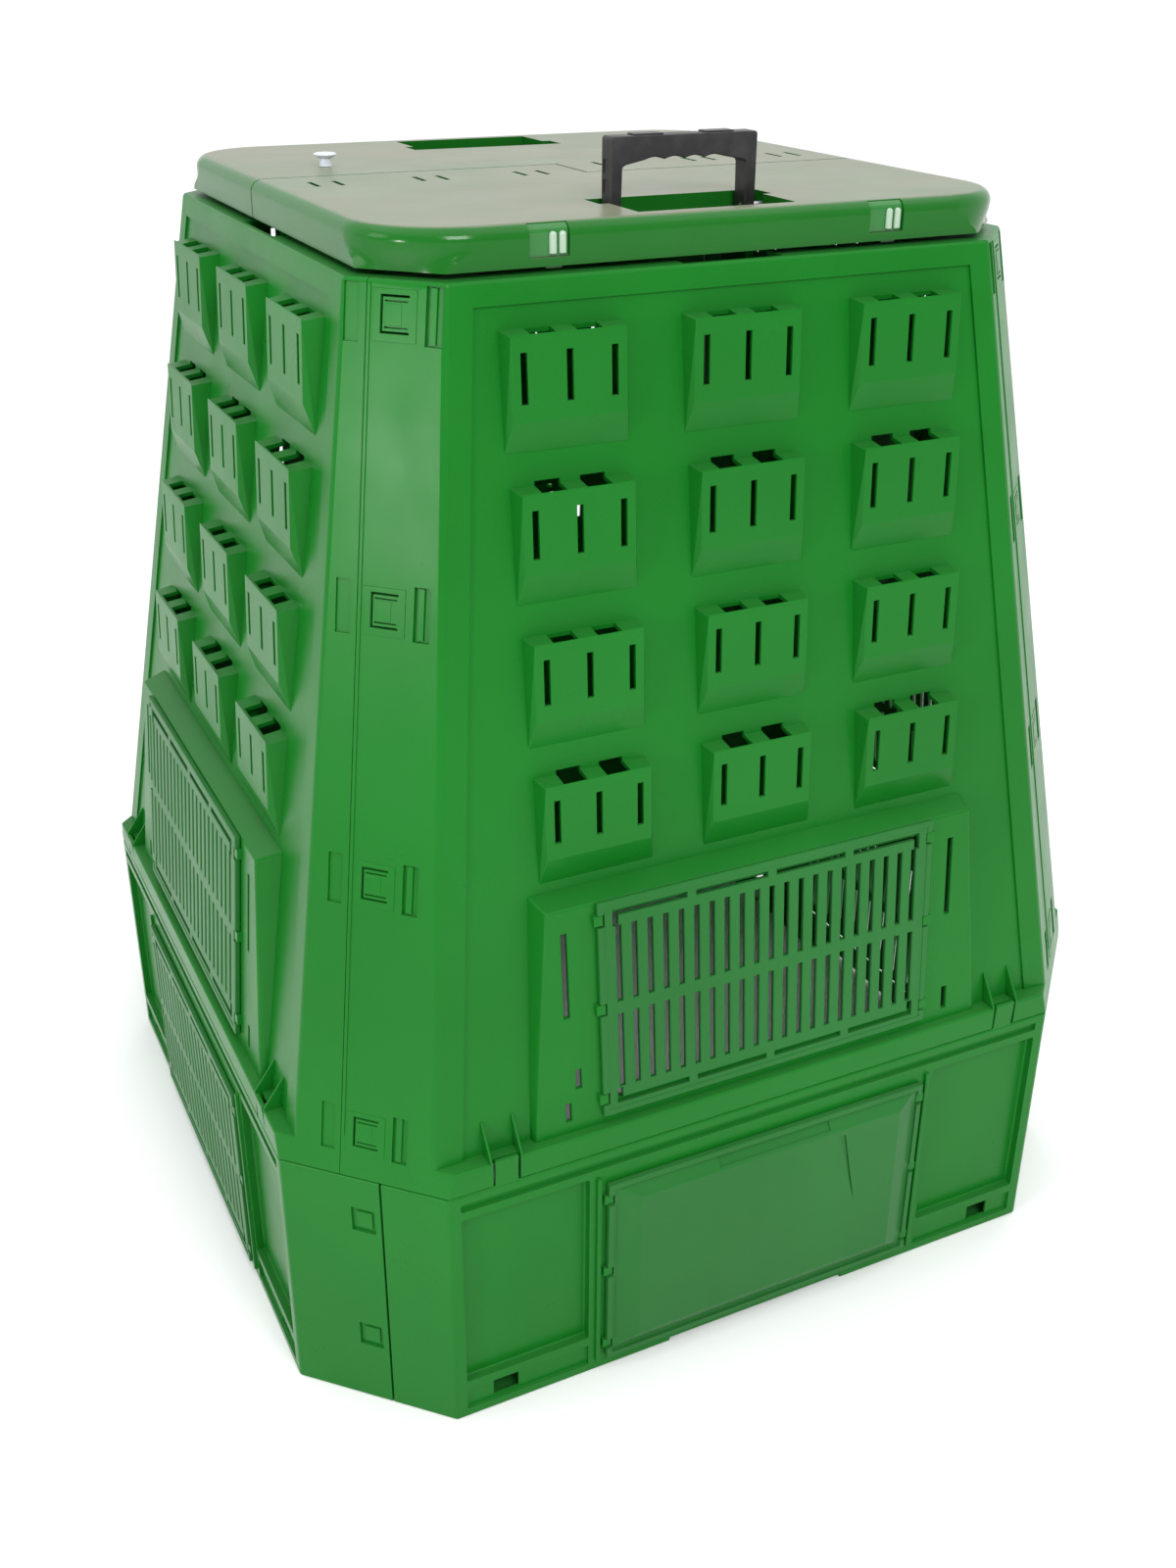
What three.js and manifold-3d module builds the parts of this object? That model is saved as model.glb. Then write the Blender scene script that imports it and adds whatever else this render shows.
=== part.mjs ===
// Garden compost bin: a square, tapered bin of snap-together panels with a two-flap lid.
// Millimetres, +Z up, origin on the ground at the centre of the base, front face towards -Y.
//
// Four equal base panels carry four equal wall panels; each panel is one flat side with two
// wings that share the 45 degree corner faces. Panels, inserts and flaps are built in the
// front position and turned about Z in quarter turns.

import * as THREE from 'three';
import { ConvexGeometry } from 'three/addons/geometries/ConvexGeometry.js';
import { mergeVertices } from 'three/addons/utils/BufferGeometryUtils.js';
import Module from 'manifold-3d';

const wasm = await Module();
wasm.setup();

// ---------------------------------------------------------------- driving dimensions

const GAP = 0.3;                    // air between touching pieces
const RUNNING = 0.15;               // what a 16-sided bore adds to its shaft's radius

const BASE_HALF = 400;              // half width over the base panels' flat sides
const BASE_TOP = 239;
const BASE_SKIN = 5;
const BASE_CORNER = 105;            // leg of the base corner's 45 degree cut
const BASE_SEAM = 15;               // base seam, measured along the corner face from its middle

const LEDGE_Z = 262;                // top of the flange that sits on the base
const WALL_TOP = 910;
const WALL_HALF_LOW = 387;          // half width of the flat wall at the ledge
const WALL_HALF_TOP = 280;
const WALL_CORNER_TOP = 54;         // leg of the corner cut at the wall's top
const WALL_SKIN = 5;
const WALL_SEAM = -20;              // wall seam, measured like the base seam
const WALL_SEAM_GAP = 0.5;
const BASE_SEAM_GAP = 2;

const PANEL_RECESS = 2;             // depth of the shallow field inside the wall's border
const RIM_THICK = 4;                // rim turned inwards at the top, under the lid
const RIM_INNER_HALF = 252;
const HINGE_NOTCH_HALF = 42;        // gap in the rim where a lid tongue swings through

const SCOOP_COLUMNS = [-144, 0, 144];
const SCOOP_TOPS = [877, 770.4, 663.7, 557];
const SCOOP = {
  half: 44.5, flare: 3, footFlare: 4.5, depth: 17, drop: 2.5, lean: 3.2, face: 61, height: 83.5, wall: 3,
};
const SCOOP_HOLE = { offset: 18, half: 10 };

const GRILLE_BOX = { top: 460, lowY: 391, topY: 373, halfTop: 198, halfLow: 216, skin: 4 };

const INSERT = { half: 157, height: 192, plate: 4, rimWidth: 5 };
const SLOTTED_RIM = 0.6;                       // how far an insert's border stands proud
const DOOR_RIM = 2;
const INSERT_NOTCHES = [16, 98, 176];          // heights of the hook notches on each side
const NOTCH = { width: 6, half: 5.5 };
const LUG_CLEAR = 1;
const GRILLE = { columns: 21, pitch: 13.9, slot: 4.8, low: 24, row: 67, rail: 11 };
const GRILLE_VENTS = { count: 4, length: 66, web: 8, height: 5, margin: 9, leg: 14 };

const HATCH_LOW = 15;                          // height of a base hatch's lower edge
const INSERT_LOW = 270;                        // height of a wall insert's lower edge
const DOOR_RAISE = 8;                          // how far the door's middle stands proud
const DOOR_OUTER = { x: 150, low: 8, high: 187 };
const DOOR_INNER = { x: 129.5, low: 22, high: 176 };

const LID_HALF = 270;
const LID_BOTTOM = 914;
const LID_TOP = 943;
const LID_SKIN = 3.5;
const LID_EDGE = 10;                           // rounding of the lid's top edge
const LID_CORNER_CUT = 48;
const LID_CORNER_R = 74;
const SEAM_STEP = 30;                          // the lid's seam runs at +/- this from the middle
const SEAM_HALF_GAP = 1;
const HINGE_Z = 935;
const ROD_R = 3;
const ROD_HALF = 255;
const KNUCKLE = { r: 6.5, half: 14 };
const KNUCKLE_X = [-222, -134, -45];           // on the front flap; mirrored on the back one

const TRAY = { floor: 922, front: -250, back: -177, step: -203, half: 66, halfWide: 74, skin: 3 };
const HANDLE = { half: 62, leg: 9.5, depth: 16, top: 988, bar: 17, y: -190, pivotZ: 933 };
const FINGERS = { count: 4, pitch: 17, lift: 1.8 };
const PIN_R = 3;
const BRACKET = { inner: 249, outer: 256, half: 4.4, armLow: 878, armHigh: 896 };
const LATCH_X = 140;
const LATCH_WINDOW = { low: -20, high: 10.5, sill: 920, depth: 7 };
const LATCH = { face: 2.6, clear: 0.3, barrel: 3, barrelX: [-1.7, 5.7], barrelLow: 922, barrelHigh: 937 };
const PEG = { x: -187, y: 92, stem: 5, head: 9.6, height: 10.5 };

const QUARTER = { front: 0, right: Math.PI / 2, back: Math.PI, left: -Math.PI / 2 };

// ---------------------------------------------------------------- materials

const finish = (color, roughness) =>
  new THREE.MeshStandardMaterial({ color, roughness, metalness: 0 });
const greenPlastic = () => finish(0x1b7a2a, 0.32);
const lidPlastic = () => finish(0x2a7f34, 0.3);
const blackPlastic = () => finish(0x1c191b, 0.45);
const whitePlastic = () => finish(0xdfe3e6, 0.35);
const steel = () => new THREE.MeshStandardMaterial({ color: 0xa8abae, roughness: 0.35, metalness: 1 });

// ---------------------------------------------------------------- solids

// A closed three.js geometry as a solid that can be joined and cut.
function solid(geometry) {
  const plain = geometry.clone();
  plain.deleteAttribute('normal');
  plain.deleteAttribute('uv');
  const merged = mergeVertices(plain, 1e-4);
  const vertProperties = new Float32Array(merged.attributes.position.array);
  const triVerts = new Uint32Array(merged.index.array);
  return new wasm.Manifold(new wasm.Mesh({ numProp: 3, vertProperties, triVerts }));
}

// A solid back as three.js geometry.
function geometryOf(manifold) {
  const mesh = manifold.getMesh();
  const geometry = new THREE.BufferGeometry();
  geometry.setAttribute('position', new THREE.BufferAttribute(new Float32Array(mesh.vertProperties), 3));
  geometry.setIndex(new THREE.BufferAttribute(new Uint32Array(mesh.triVerts), 1));
  geometry.computeVertexNormals();
  return geometry;
}

const join = (parts) => parts.reduce((sum, part) => sum.add(part));
const cut = (body, tools) => tools.reduce((rest, tool) => rest.subtract(tool), body);

function box(x0, x1, y0, y1, z0, z1) {
  const geometry = new THREE.BoxGeometry(x1 - x0, y1 - y0, z1 - z0);
  geometry.translate((x0 + x1) / 2, (y0 + y1) / 2, (z0 + z1) / 2);
  return solid(geometry);
}

function hull(points) {
  return solid(new ConvexGeometry(points.map(([x, y, z]) => new THREE.Vector3(x, y, z))));
}

// A cylinder along X from x0 to x1.
function rodX(radius, x0, x1, y, z, segments = 20) {
  const geometry = new THREE.CylinderGeometry(radius, radius, x1 - x0, segments);
  geometry.rotateZ(Math.PI / 2);
  geometry.translate((x0 + x1) / 2, y, z);
  return solid(geometry);
}

// A plan outline raised from z0 to z1.
function prism(outline, z0, z1) {
  const shape = new THREE.Shape(outline.map(([x, y]) => new THREE.Vector2(x, y)));
  const geometry = new THREE.ExtrudeGeometry(shape, { depth: z1 - z0, bevelEnabled: false });
  geometry.translate(0, 0, z0);
  return solid(geometry);
}

// An outline in the X-Z plane, extruded along Y from y0 to y1.
function slabY(outline, y0, y1) {
  const shape = new THREE.Shape(outline.map(([x, z]) => new THREE.Vector2(x, z)));
  const geometry = new THREE.ExtrudeGeometry(shape, { depth: y1 - y0, bevelEnabled: false });
  geometry.rotateX(Math.PI / 2);
  geometry.translate(0, y1, 0);
  return solid(geometry);
}

// ---------------------------------------------------------------- the bin's outline

// The corner faces lie on planes x + y = cornerSum(z); they run straight through base and wall.
const BASE_SUM = 2 * BASE_HALF - BASE_CORNER;
const TOP_SUM = 2 * WALL_HALF_TOP - WALL_CORNER_TOP;
const cornerSum = (z) =>
  z <= BASE_TOP ? BASE_SUM : BASE_SUM + ((TOP_SUM - BASE_SUM) * (z - BASE_TOP)) / (WALL_TOP - BASE_TOP);
const WALL_SLOPE = (WALL_HALF_LOW - WALL_HALF_TOP) / (WALL_TOP - LEDGE_Z);
const wallHalf = (z) => WALL_HALF_LOW - WALL_SLOPE * (z - LEDGE_Z);
const fieldY = (z) => -(wallHalf(z) - PANEL_RECESS);

function octagon(half, sum, z) {
  const side = sum - half;
  const quarter = [[side, half], [half, side]];
  const turned = [[1, 1], [-1, 1], [-1, -1], [1, -1]];
  return turned.flatMap(([sx, sy]) => quarter.map(([x, y]) => [sx * x, sy * y, z]));
}

// A straight-sided ring section: half width and corner sum at two heights, drawn in by inset.
function frustum(halfAt, z0, z1, inset = 0) {
  const ring = (z) => octagon(halfAt(z) - inset, cornerSum(z) - inset * Math.SQRT2, z);
  return hull([...ring(z0), ...ring(z1)]);
}

// The share of the bin that belongs to the front panel, between the two corner seams.
function frontSector(seam, gap, z0, z1) {
  const reach = 700;
  const apexX = seam * Math.SQRT2;
  const apexY = -gap / Math.SQRT2;
  return prism([[apexX, apexY], [apexX - reach, apexY - reach], [apexX + reach, apexY - reach]], z0, z1);
}

// A tool that cuts the corner face left of the front panel: e along the face, z up, depth inwards.
function cornerTool(e0, e1, z0, z1, depth) {
  const reach = (z, d) => cornerSum(z) / Math.SQRT2 - d;
  const point = (e, d, z) => {
    const r = reach(z, d);
    return [(e - r) / Math.SQRT2, (-e - r) / Math.SQRT2, z];
  };
  const corners = [];
  for (const z of [z0, z1]) {
    for (const d of [-3, depth]) {
      corners.push(point(e0, d, z), point(e1, d, z));
    }
  }
  return hull(corners);
}

// The same tool on the corner face at the front panel's right-hand end.
function rightCornerTool(...size) {
  return cornerTool(...size).rotate([0, 0, 90]);
}

// ---------------------------------------------------------------- base panel

// Lugs that stand in the notches of an insert; placed on the plane y = face.
function lugs(low, face) {
  const lug = (side, z) => {
    const inner = INSERT.half - NOTCH.width + LUG_CLEAR;
    const x = [inner, INSERT.half + 3].map((v) => v * side).sort((a, b) => a - b);
    const half = NOTCH.half - LUG_CLEAR;
    return box(x[0], x[1], face - INSERT.plate, face + 1, low + z - half, low + z + half);
  };
  return [-1, 1].flatMap((side) => INSERT_NOTCHES.map((z) => lug(side, z)));
}

const CLIP_X = 245;
const CLIP = { half: 10, low: 242, high: 264 };
const CLIP_WINDOW_HALF = 12;

// A hook on the base panel that rises through a window in the wall's flange.
function baseHook(x) {
  return hull([
    [x - CLIP.half, -BASE_HALF + 1, BASE_TOP - 9], [x + CLIP.half, -BASE_HALF + 1, BASE_TOP - 9],
    [x - CLIP.half, -BASE_HALF + 4.5, BASE_TOP - 9], [x + CLIP.half, -BASE_HALF + 4.5, BASE_TOP - 9],
    [x - CLIP.half, -BASE_HALF - 1, CLIP.high], [x + CLIP.half, -BASE_HALF - 1, CLIP.high],
    [x - CLIP.half, -BASE_HALF + 3, CLIP.high], [x + CLIP.half, -BASE_HALF + 3, CLIP.high],
  ]);
}

function basePanel() {
  const y = -BASE_HALF;
  const straight = () => BASE_HALF;
  const skirt = frustum(straight, 0, BASE_TOP).subtract(frustum(straight, -1, BASE_TOP + 1, BASE_SKIN));
  const foot = frustum(straight, 0, 4, 1).subtract(frustum(straight, -1, 5, 24));
  const pocket = { x0: 172, x1: 285, z0: 40, z1: 215, depth: 8 };
  const additions = [];
  const tools = [];
  for (const side of [-1, 1]) {
    const span = (a, b) => (side > 0 ? [a, b] : [-b, -a]);
    const [px0, px1] = span(pocket.x0, pocket.x1);
    const back = y + pocket.depth + 3;
    additions.push(box(px0 - 3, px1 + 3, y + 1, back, pocket.z0 - 3, pocket.z1 + 3));
    tools.push(box(px0, px1, y - 1, y + pocket.depth, pocket.z0, pocket.z1));
    tools.push(box(px0, px1, y - 1, y + 3, 9, 31));
    tools.push(box(...span(237, 260), y - 1, y + 25, 11.6, 27.4));
    additions.push(box(...span(162, 166), y - 3, y + 1, 12, 214));
    additions.push(baseHook(side * CLIP_X));
  }
  const outlet = box(-146, 146, y - 5, y + 20, HATCH_LOW + 12, HATCH_LOW + 180);
  const groove = box(-285, 285, y - 1, y + 3.5, 223, 231);
  const footNotch = box(-91, 91, y - 1, y + 26, -1, 5);
  const corners = [60, 185].map((z) => rightCornerTool(BASE_SEAM - 27, BASE_SEAM - 6, z, z + 24, 2.2));
  const sector = frontSector(BASE_SEAM, BASE_SEAM_GAP, -1, CLIP.high + 9);
  const panel = join([skirt, foot, ...additions]).intersect(sector);
  return join([cut(panel, [...tools, outlet, groove, footNotch, ...corners]), ...lugs(HATCH_LOW, y)]);
}

// ---------------------------------------------------------------- wall panel

// The wedge-shaped outside of one vent scoop, hanging from its flat top.
function scoopBody(x, top) {
  const front = fieldY(top) - SCOOP.depth;
  const flared = SCOOP.half + SCOOP.flare;
  const foot = top - SCOOP.height;
  const points = [-1, 1].flatMap((s) => [
    [x + s * flared, fieldY(top) + 1, top],
    [x + s * SCOOP.half, front, top - SCOOP.drop],
    [x + s * SCOOP.half, front - SCOOP.lean, top - SCOOP.face],
    [x + s * (SCOOP.half + SCOOP.footFlare), fieldY(foot) - 0.1, foot],
    [x + s * (SCOOP.half + SCOOP.footFlare), fieldY(foot) + 1, foot],
  ]);
  return hull(points);
}

// The hollow of the scoop, open to the inside of the bin.
function scoopHollow(x, top) {
  const t = SCOOP.wall;
  const front = fieldY(top) - SCOOP.depth + t;
  const half = SCOOP.half - t;
  const low = top - SCOOP.height + 9;
  const inside = (z) => -wallHalf(z) + WALL_SKIN + 1;
  const points = [-1, 1].flatMap((s) => [
    [x + s * half, inside(top), top - t],
    [x + s * half, front, top - SCOOP.drop - t],
    [x + s * half, front - SCOOP.lean, top - SCOOP.face],
    [x + s * half, fieldY(low), low],
    [x + s * half, inside(low), low],
  ]);
  return hull(points);
}

// Two holes in the scoop's top; on every second row they also bite into the wall behind.
function scoopTopHoles(x, top, deep) {
  const front = fieldY(top) - SCOOP.depth + SCOOP.wall;
  const back = deep ? -wallHalf(top) + WALL_SKIN + 2 : fieldY(top) - 0.5;
  const rise = deep ? 3 : 1;
  return [-1, 1].map((s) => {
    const centre = x + s * SCOOP_HOLE.offset;
    return box(centre - SCOOP_HOLE.half, centre + SCOOP_HOLE.half, front, back, top - 7, top + rise);
  });
}

// The raised box that carries a wall insert: its front is a leaning plane.
const boxLean = (GRILLE_BOX.lowY - GRILLE_BOX.topY) / (GRILLE_BOX.top - LEDGE_Z);
const boxFace = (z) => -(GRILLE_BOX.lowY - boxLean * (z - LEDGE_Z));

function grilleBox(inset) {
  const low = LEDGE_Z - 4 + inset;
  const high = GRILLE_BOX.top - inset;
  const back = (z) => (inset ? -wallHalf(z) + WALL_SKIN + 1 : fieldY(z) + 1);
  const points = [-1, 1].flatMap((s) => [
    [s * (GRILLE_BOX.halfLow - inset), boxFace(low) + inset, low],
    [s * (GRILLE_BOX.halfTop - inset), boxFace(high) + inset, high],
    [s * (GRILLE_BOX.halfLow + 3 - inset), back(low), low],
    [s * (GRILLE_BOX.halfTop + 6 - inset), back(high + 6), high + (inset ? 0 : 6)],
  ]);
  return hull(points);
}

// Slots through the box beside the insert; x, lower edge and height of each.
const BOX_SLOTS = [[-184, 366, 74], [-176, 300, 18], [-186, 272, 17], [180, 366, 72], [182, 272, 22]];

function boxOpenings() {
  const through = (x0, x1, z0, z1) => box(x0, x1, boxFace(z0) - 3, boxFace(z1) + 8, z0, z1);
  const slots = BOX_SLOTS.map(([x, z, h]) => through(x - 2.6, x + 2.6, z, z + h));
  return [through(-147, 147, INSERT_LOW + 12, INSERT_LOW + 178), ...slots];
}

// Two thin ribs that brace the flange beside a clip window.
function clipRibs(x) {
  const rib = (x0) => {
    const foot = LEDGE_Z - 3;
    const head = LEDGE_Z + 28;
    return hull([x0, x0 + 2].flatMap((v) => [
      [v, -BASE_HALF, LEDGE_Z - 16], [v, -BASE_HALF + 5, LEDGE_Z - 16], [v, -BASE_HALF, LEDGE_Z + 2],
      [v, fieldY(foot) + 1, foot], [v, fieldY(head) - 1, head], [v, fieldY(head) + 1, head],
    ]));
  };
  return [rib(x - CLIP_WINDOW_HALF - 2), rib(x + CLIP_WINDOW_HALF)];
}

function clipWindow(x) {
  const half = CLIP_WINDOW_HALF;
  return box(x - half, x + half, -BASE_HALF - 2, -BASE_HALF + 6, CLIP.low - 6, LEDGE_Z + 3);
}

function wallPanel() {
  const flangeHalf = () => BASE_HALF;
  const low = BASE_TOP + GAP;
  const outside = join([frustum(flangeHalf, low, LEDGE_Z), frustum(wallHalf, low, WALL_TOP)]);
  const inside = join([
    frustum(flangeHalf, low - 1, LEDGE_Z - 4, WALL_SKIN),
    frustum(wallHalf, low - 1, WALL_TOP + 1, WALL_SKIN),
  ]);
  const rimLow = WALL_TOP - RIM_THICK;
  const rimHole = hull([rimLow - 1, WALL_TOP + 1].flatMap((z) => octagon(RIM_INNER_HALF, 440, z)));
  const rim = frustum(wallHalf, rimLow, WALL_TOP, 1).subtract(rimHole);
  const fieldTop = WALL_TOP - 17;
  const field = hull([-1, 1].flatMap((s) => [
    [s * 208, fieldY(fieldTop), fieldTop], [s * 208, fieldY(fieldTop) - 20, fieldTop],
    [s * 277, fieldY(LEDGE_Z + 0.2), LEDGE_Z + 0.2], [s * 277, -BASE_HALF - 20, LEDGE_Z + 0.2],
  ]));
  const hingeNotch = box(
    -HINGE_NOTCH_HALF, HINGE_NOTCH_HALF, -wallHalf(WALL_TOP) + WALL_SKIN, -RIM_INNER_HALF + 10,
    rimLow - 1, WALL_TOP + 1,
  );
  const shell = cut(outside.subtract(inside).add(rim), [hingeNotch, field]);
  const spots = SCOOP_TOPS.flatMap((top, row) => SCOOP_COLUMNS.map((x) => ({ x, top, deep: row % 2 === 1 })));
  const scoops = spots.map(({ x, top }) => scoopBody(x, top));
  const ribs = [-CLIP_X, CLIP_X].flatMap(clipRibs);
  const tools = [
    ...spots.flatMap(({ x, top, deep }) => [scoopHollow(x, top), ...scoopTopHoles(x, top, deep)]),
    grilleBox(GRILLE_BOX.skin),
    ...boxOpenings(),
    clipWindow(-CLIP_X),
    clipWindow(CLIP_X),
  ];
  const body = cut(join([shell, ...scoops, grilleBox(0), ...ribs]), tools);
  return body.intersect(frontSector(WALL_SEAM, WALL_SEAM_GAP, low - 1, WALL_TOP + 2));
}

// ---------------------------------------------------------------- inserts and doors

// Inserts are built flat: x across, z up from their lower edge, front towards -Y, back at y = 0.
function insertPlate(rim) {
  const { half, height, plate, rimWidth } = INSERT;
  const slab = box(-half, half, -plate, 0, 0, height);
  const border = box(-half, half, -plate - rim, -plate + 1, 0, height)
    .subtract(box(-half + rimWidth, half - rimWidth, -20, 20, rimWidth, height - rimWidth));
  const notches = [-1, 1].flatMap((side) => INSERT_NOTCHES.map((z) => {
    const x = [half - NOTCH.width, half + 1].map((v) => v * side).sort((a, b) => a - b);
    return box(x[0], x[1], -20, 20, z - NOTCH.half, z + NOTCH.half);
  }));
  return cut(slab.add(border), notches);
}

function slottedInsert() {
  const slots = [];
  for (let i = 0; i < GRILLE.columns; i += 1) {
    const x = (i - (GRILLE.columns - 1) / 2) * GRILLE.pitch;
    for (const row of [0, 1]) {
      const z = GRILLE.low + row * (GRILLE.row + GRILLE.rail);
      slots.push(box(x - GRILLE.slot / 2, x + GRILLE.slot / 2, -20, 20, z, z + GRILLE.row));
    }
  }
  const { count, length, web, height, margin, leg } = GRILLE_VENTS;
  const start = -(count * length + (count - 1) * web) / 2;
  for (let i = 0; i < count; i += 1) {
    const x = start + i * (length + web);
    const high = INSERT.height - margin;
    slots.push(box(x, x + length, -20, 20, margin, margin + height));
    slots.push(box(x, x + length, -20, 20, high - height, high));
    if (i === 0 || i === count - 1) {
      const end = i === 0 ? x : x + length - height;
      slots.push(box(end, end + height, -20, 20, margin, margin + leg));
      slots.push(box(end, end + height, -20, 20, high - leg, high));
    }
  }
  return cut(insertPlate(SLOTTED_RIM), slots);
}

// A solid hatch door: a bevelled field stands proud, with a finger groove along its upper bevel.
function hatchDoor() {
  const raisedField = (inset) => {
    const rectangle = ({ x, low, high }, y) => [-1, 1].flatMap((side) => [
      [side * (x - inset), y, low + inset],
      [side * (x - inset), y, high - inset],
    ]);
    return hull([
      ...rectangle(DOOR_OUTER, -INSERT.plate + inset + 0.2),
      ...rectangle(DOOR_INNER, -INSERT.plate - DOOR_RAISE + inset),
      ...rectangle(DOOR_OUTER, inset ? 1 : -1),
    ]);
  };
  const bevelSlope = DOOR_RAISE / (DOOR_OUTER.high - DOOR_INNER.high);
  const bevelY = (z) => -INSERT.plate - bevelSlope * (DOOR_OUTER.high - z);
  const groove = hull([-54, 57].flatMap((x) => [178, 186].flatMap((z) => [
    [x, bevelY(z) - 9, z], [x, bevelY(z) + 2, z],
  ])));
  const dart = slabY([[66, 170], [72, 170], [87, 92]], -INSERT.plate - DOOR_RAISE - 1, -INSERT.plate - 6.4);
  return cut(insertPlate(DOOR_RIM).add(raisedField(0)), [raisedField(3), groove, dart]);
}

// ---------------------------------------------------------------- lid

function lidRing(z, half, round) {
  const steps = 4;
  const points = [];
  for (let quarter = 0; quarter < 4; quarter += 1) {
    for (let i = 0; i <= steps; i += 1) {
      const angle = (Math.PI / 2) * (quarter + i / steps);
      const turn = (Math.PI / 2) * quarter;
      const radius = LID_CORNER_R - (LID_HALF - half);
      const centre = half - radius;
      const swing = angle - turn;
      const arc = [centre + radius * Math.cos(swing), centre + radius * Math.sin(swing)];
      const cutAt = (LID_CORNER_CUT * i) / steps;
      const chamfer = [half - cutAt, half - LID_CORNER_CUT + cutAt];
      const [x, y] = round ? arc : chamfer;
      points.push([x * Math.cos(turn) - y * Math.sin(turn), x * Math.sin(turn) + y * Math.cos(turn), z]);
    }
  }
  return points;
}

// The lid's outside as one body: cut corners below, rounded corners and top edge above.
function lidBody(inset) {
  const half = LID_HALF - inset;
  const top = LID_TOP - inset;
  const edge = LID_EDGE - inset / 2;
  const rings = [lidRing(LID_BOTTOM - (inset ? 1 : 0), half, false)];
  for (const angle of [0, Math.PI / 4, Math.PI / 2]) {
    const inward = edge * (1 - Math.cos(angle));
    rings.push(lidRing(top - edge + edge * Math.sin(angle), half - inward, true));
  }
  return hull(rings.flat());
}

// The flap in front of the stepped seam.
function flapOutline() {
  const reach = LID_HALF + 30;
  const g = SEAM_HALF_GAP;
  return [
    [-reach, -reach], [reach, -reach], [reach, -SEAM_STEP - g],
    [-g, -SEAM_STEP - g], [-g, SEAM_STEP - g], [-reach, SEAM_STEP - g],
  ];
}

// A sunk tray for the carry handle, wider at its back where the handle's feet turn.
function trayShape(skin, high) {
  const { floor, front, back, step, half, halfWide } = TRAY;
  const low = floor - skin;
  return join([
    box(-half - skin, half + skin, front - skin, step + 1, low, high),
    box(-halfWide - skin, halfWide + skin, step - skin, back + skin, low, high),
  ]);
}

function knuckle(x) {
  const ring = rodX(KNUCKLE.r, x - KNUCKLE.half, x + KNUCKLE.half, 0, HINGE_Z, 16);
  const web = box(x - KNUCKLE.half, x + KNUCKLE.half, -5, 5, HINGE_Z, LID_TOP - 1);
  return ring.add(web);
}

// Each knuckle was moulded through a square window: two slits beside a flush tongue.
function knuckleWindow(x) {
  const slit = (x0) => box(x0, x0 + 4, -31, -4, LID_TOP - LID_SKIN - 1, LID_TOP + 1);
  return [slit(x - 12), slit(x + 8)];
}

function latchWindow(x) {
  const { low, high, sill, depth } = LATCH_WINDOW;
  return box(x + low, x + high, -LID_HALF - 1, -LID_HALF + depth, sill, LID_TOP + 1);
}

// An optional pair of bores for the handle's pins makes the front flap; the back one has none.
function lidFlap() {
  const shell = lidBody(0).subtract(lidBody(LID_SKIN));
  const half = shell.intersect(prism(flapOutline(), LID_BOTTOM - 1, LID_TOP + 1));
  const body = join([half, trayShape(TRAY.skin, LID_TOP - 1), ...KNUCKLE_X.map(knuckle)]);
  const bore = rodX(ROD_R + RUNNING, KNUCKLE_X[0] - 20, KNUCKLE_X[2] + 20, 0, HINGE_Z, 16);
  const pinBore = rodX(PIN_R + RUNNING, -90, 90, HANDLE.y, HANDLE.pivotZ, 16);
  return cut(body, [
    trayShape(0, LID_TOP + 1), bore, pinBore, ...KNUCKLE_X.flatMap(knuckleWindow),
    latchWindow(-LATCH_X), latchWindow(LATCH_X),
  ]);
}

// A snap latch that fills its window: a plate with two round barrels and a hook below.
function lidLatch() {
  const { low, high, sill, depth } = LATCH_WINDOW;
  const { clear, barrel, barrelX, barrelLow, barrelHigh } = LATCH;
  const face = -LID_HALF + LATCH.face;
  const back = -LID_HALF + depth - clear;
  const plate = hull([low + clear, high - clear].flatMap((x) => [
    [x, face, sill + clear], [x, face + 3, sill + clear], [x, face, LID_TOP - 7],
    [x, face + 1.4, LID_TOP - 3.4], [x, back, LID_TOP - 1.4], [x, back, LID_TOP - 4],
  ]));
  const hook = box(-6, 6, -LID_HALF + LID_SKIN + GAP, face + 3, LID_BOTTOM - 2, sill + 1);
  const barrels = barrelX.map((x) => {
    const geometry = new THREE.CylinderGeometry(barrel, barrel, barrelHigh - barrelLow, 14);
    geometry.rotateX(Math.PI / 2);
    geometry.translate(x, face, (barrelLow + barrelHigh) / 2);
    return solid(geometry);
  });
  return join([plate, hook, ...barrels]);
}

// ---------------------------------------------------------------- handle and small pieces

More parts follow.
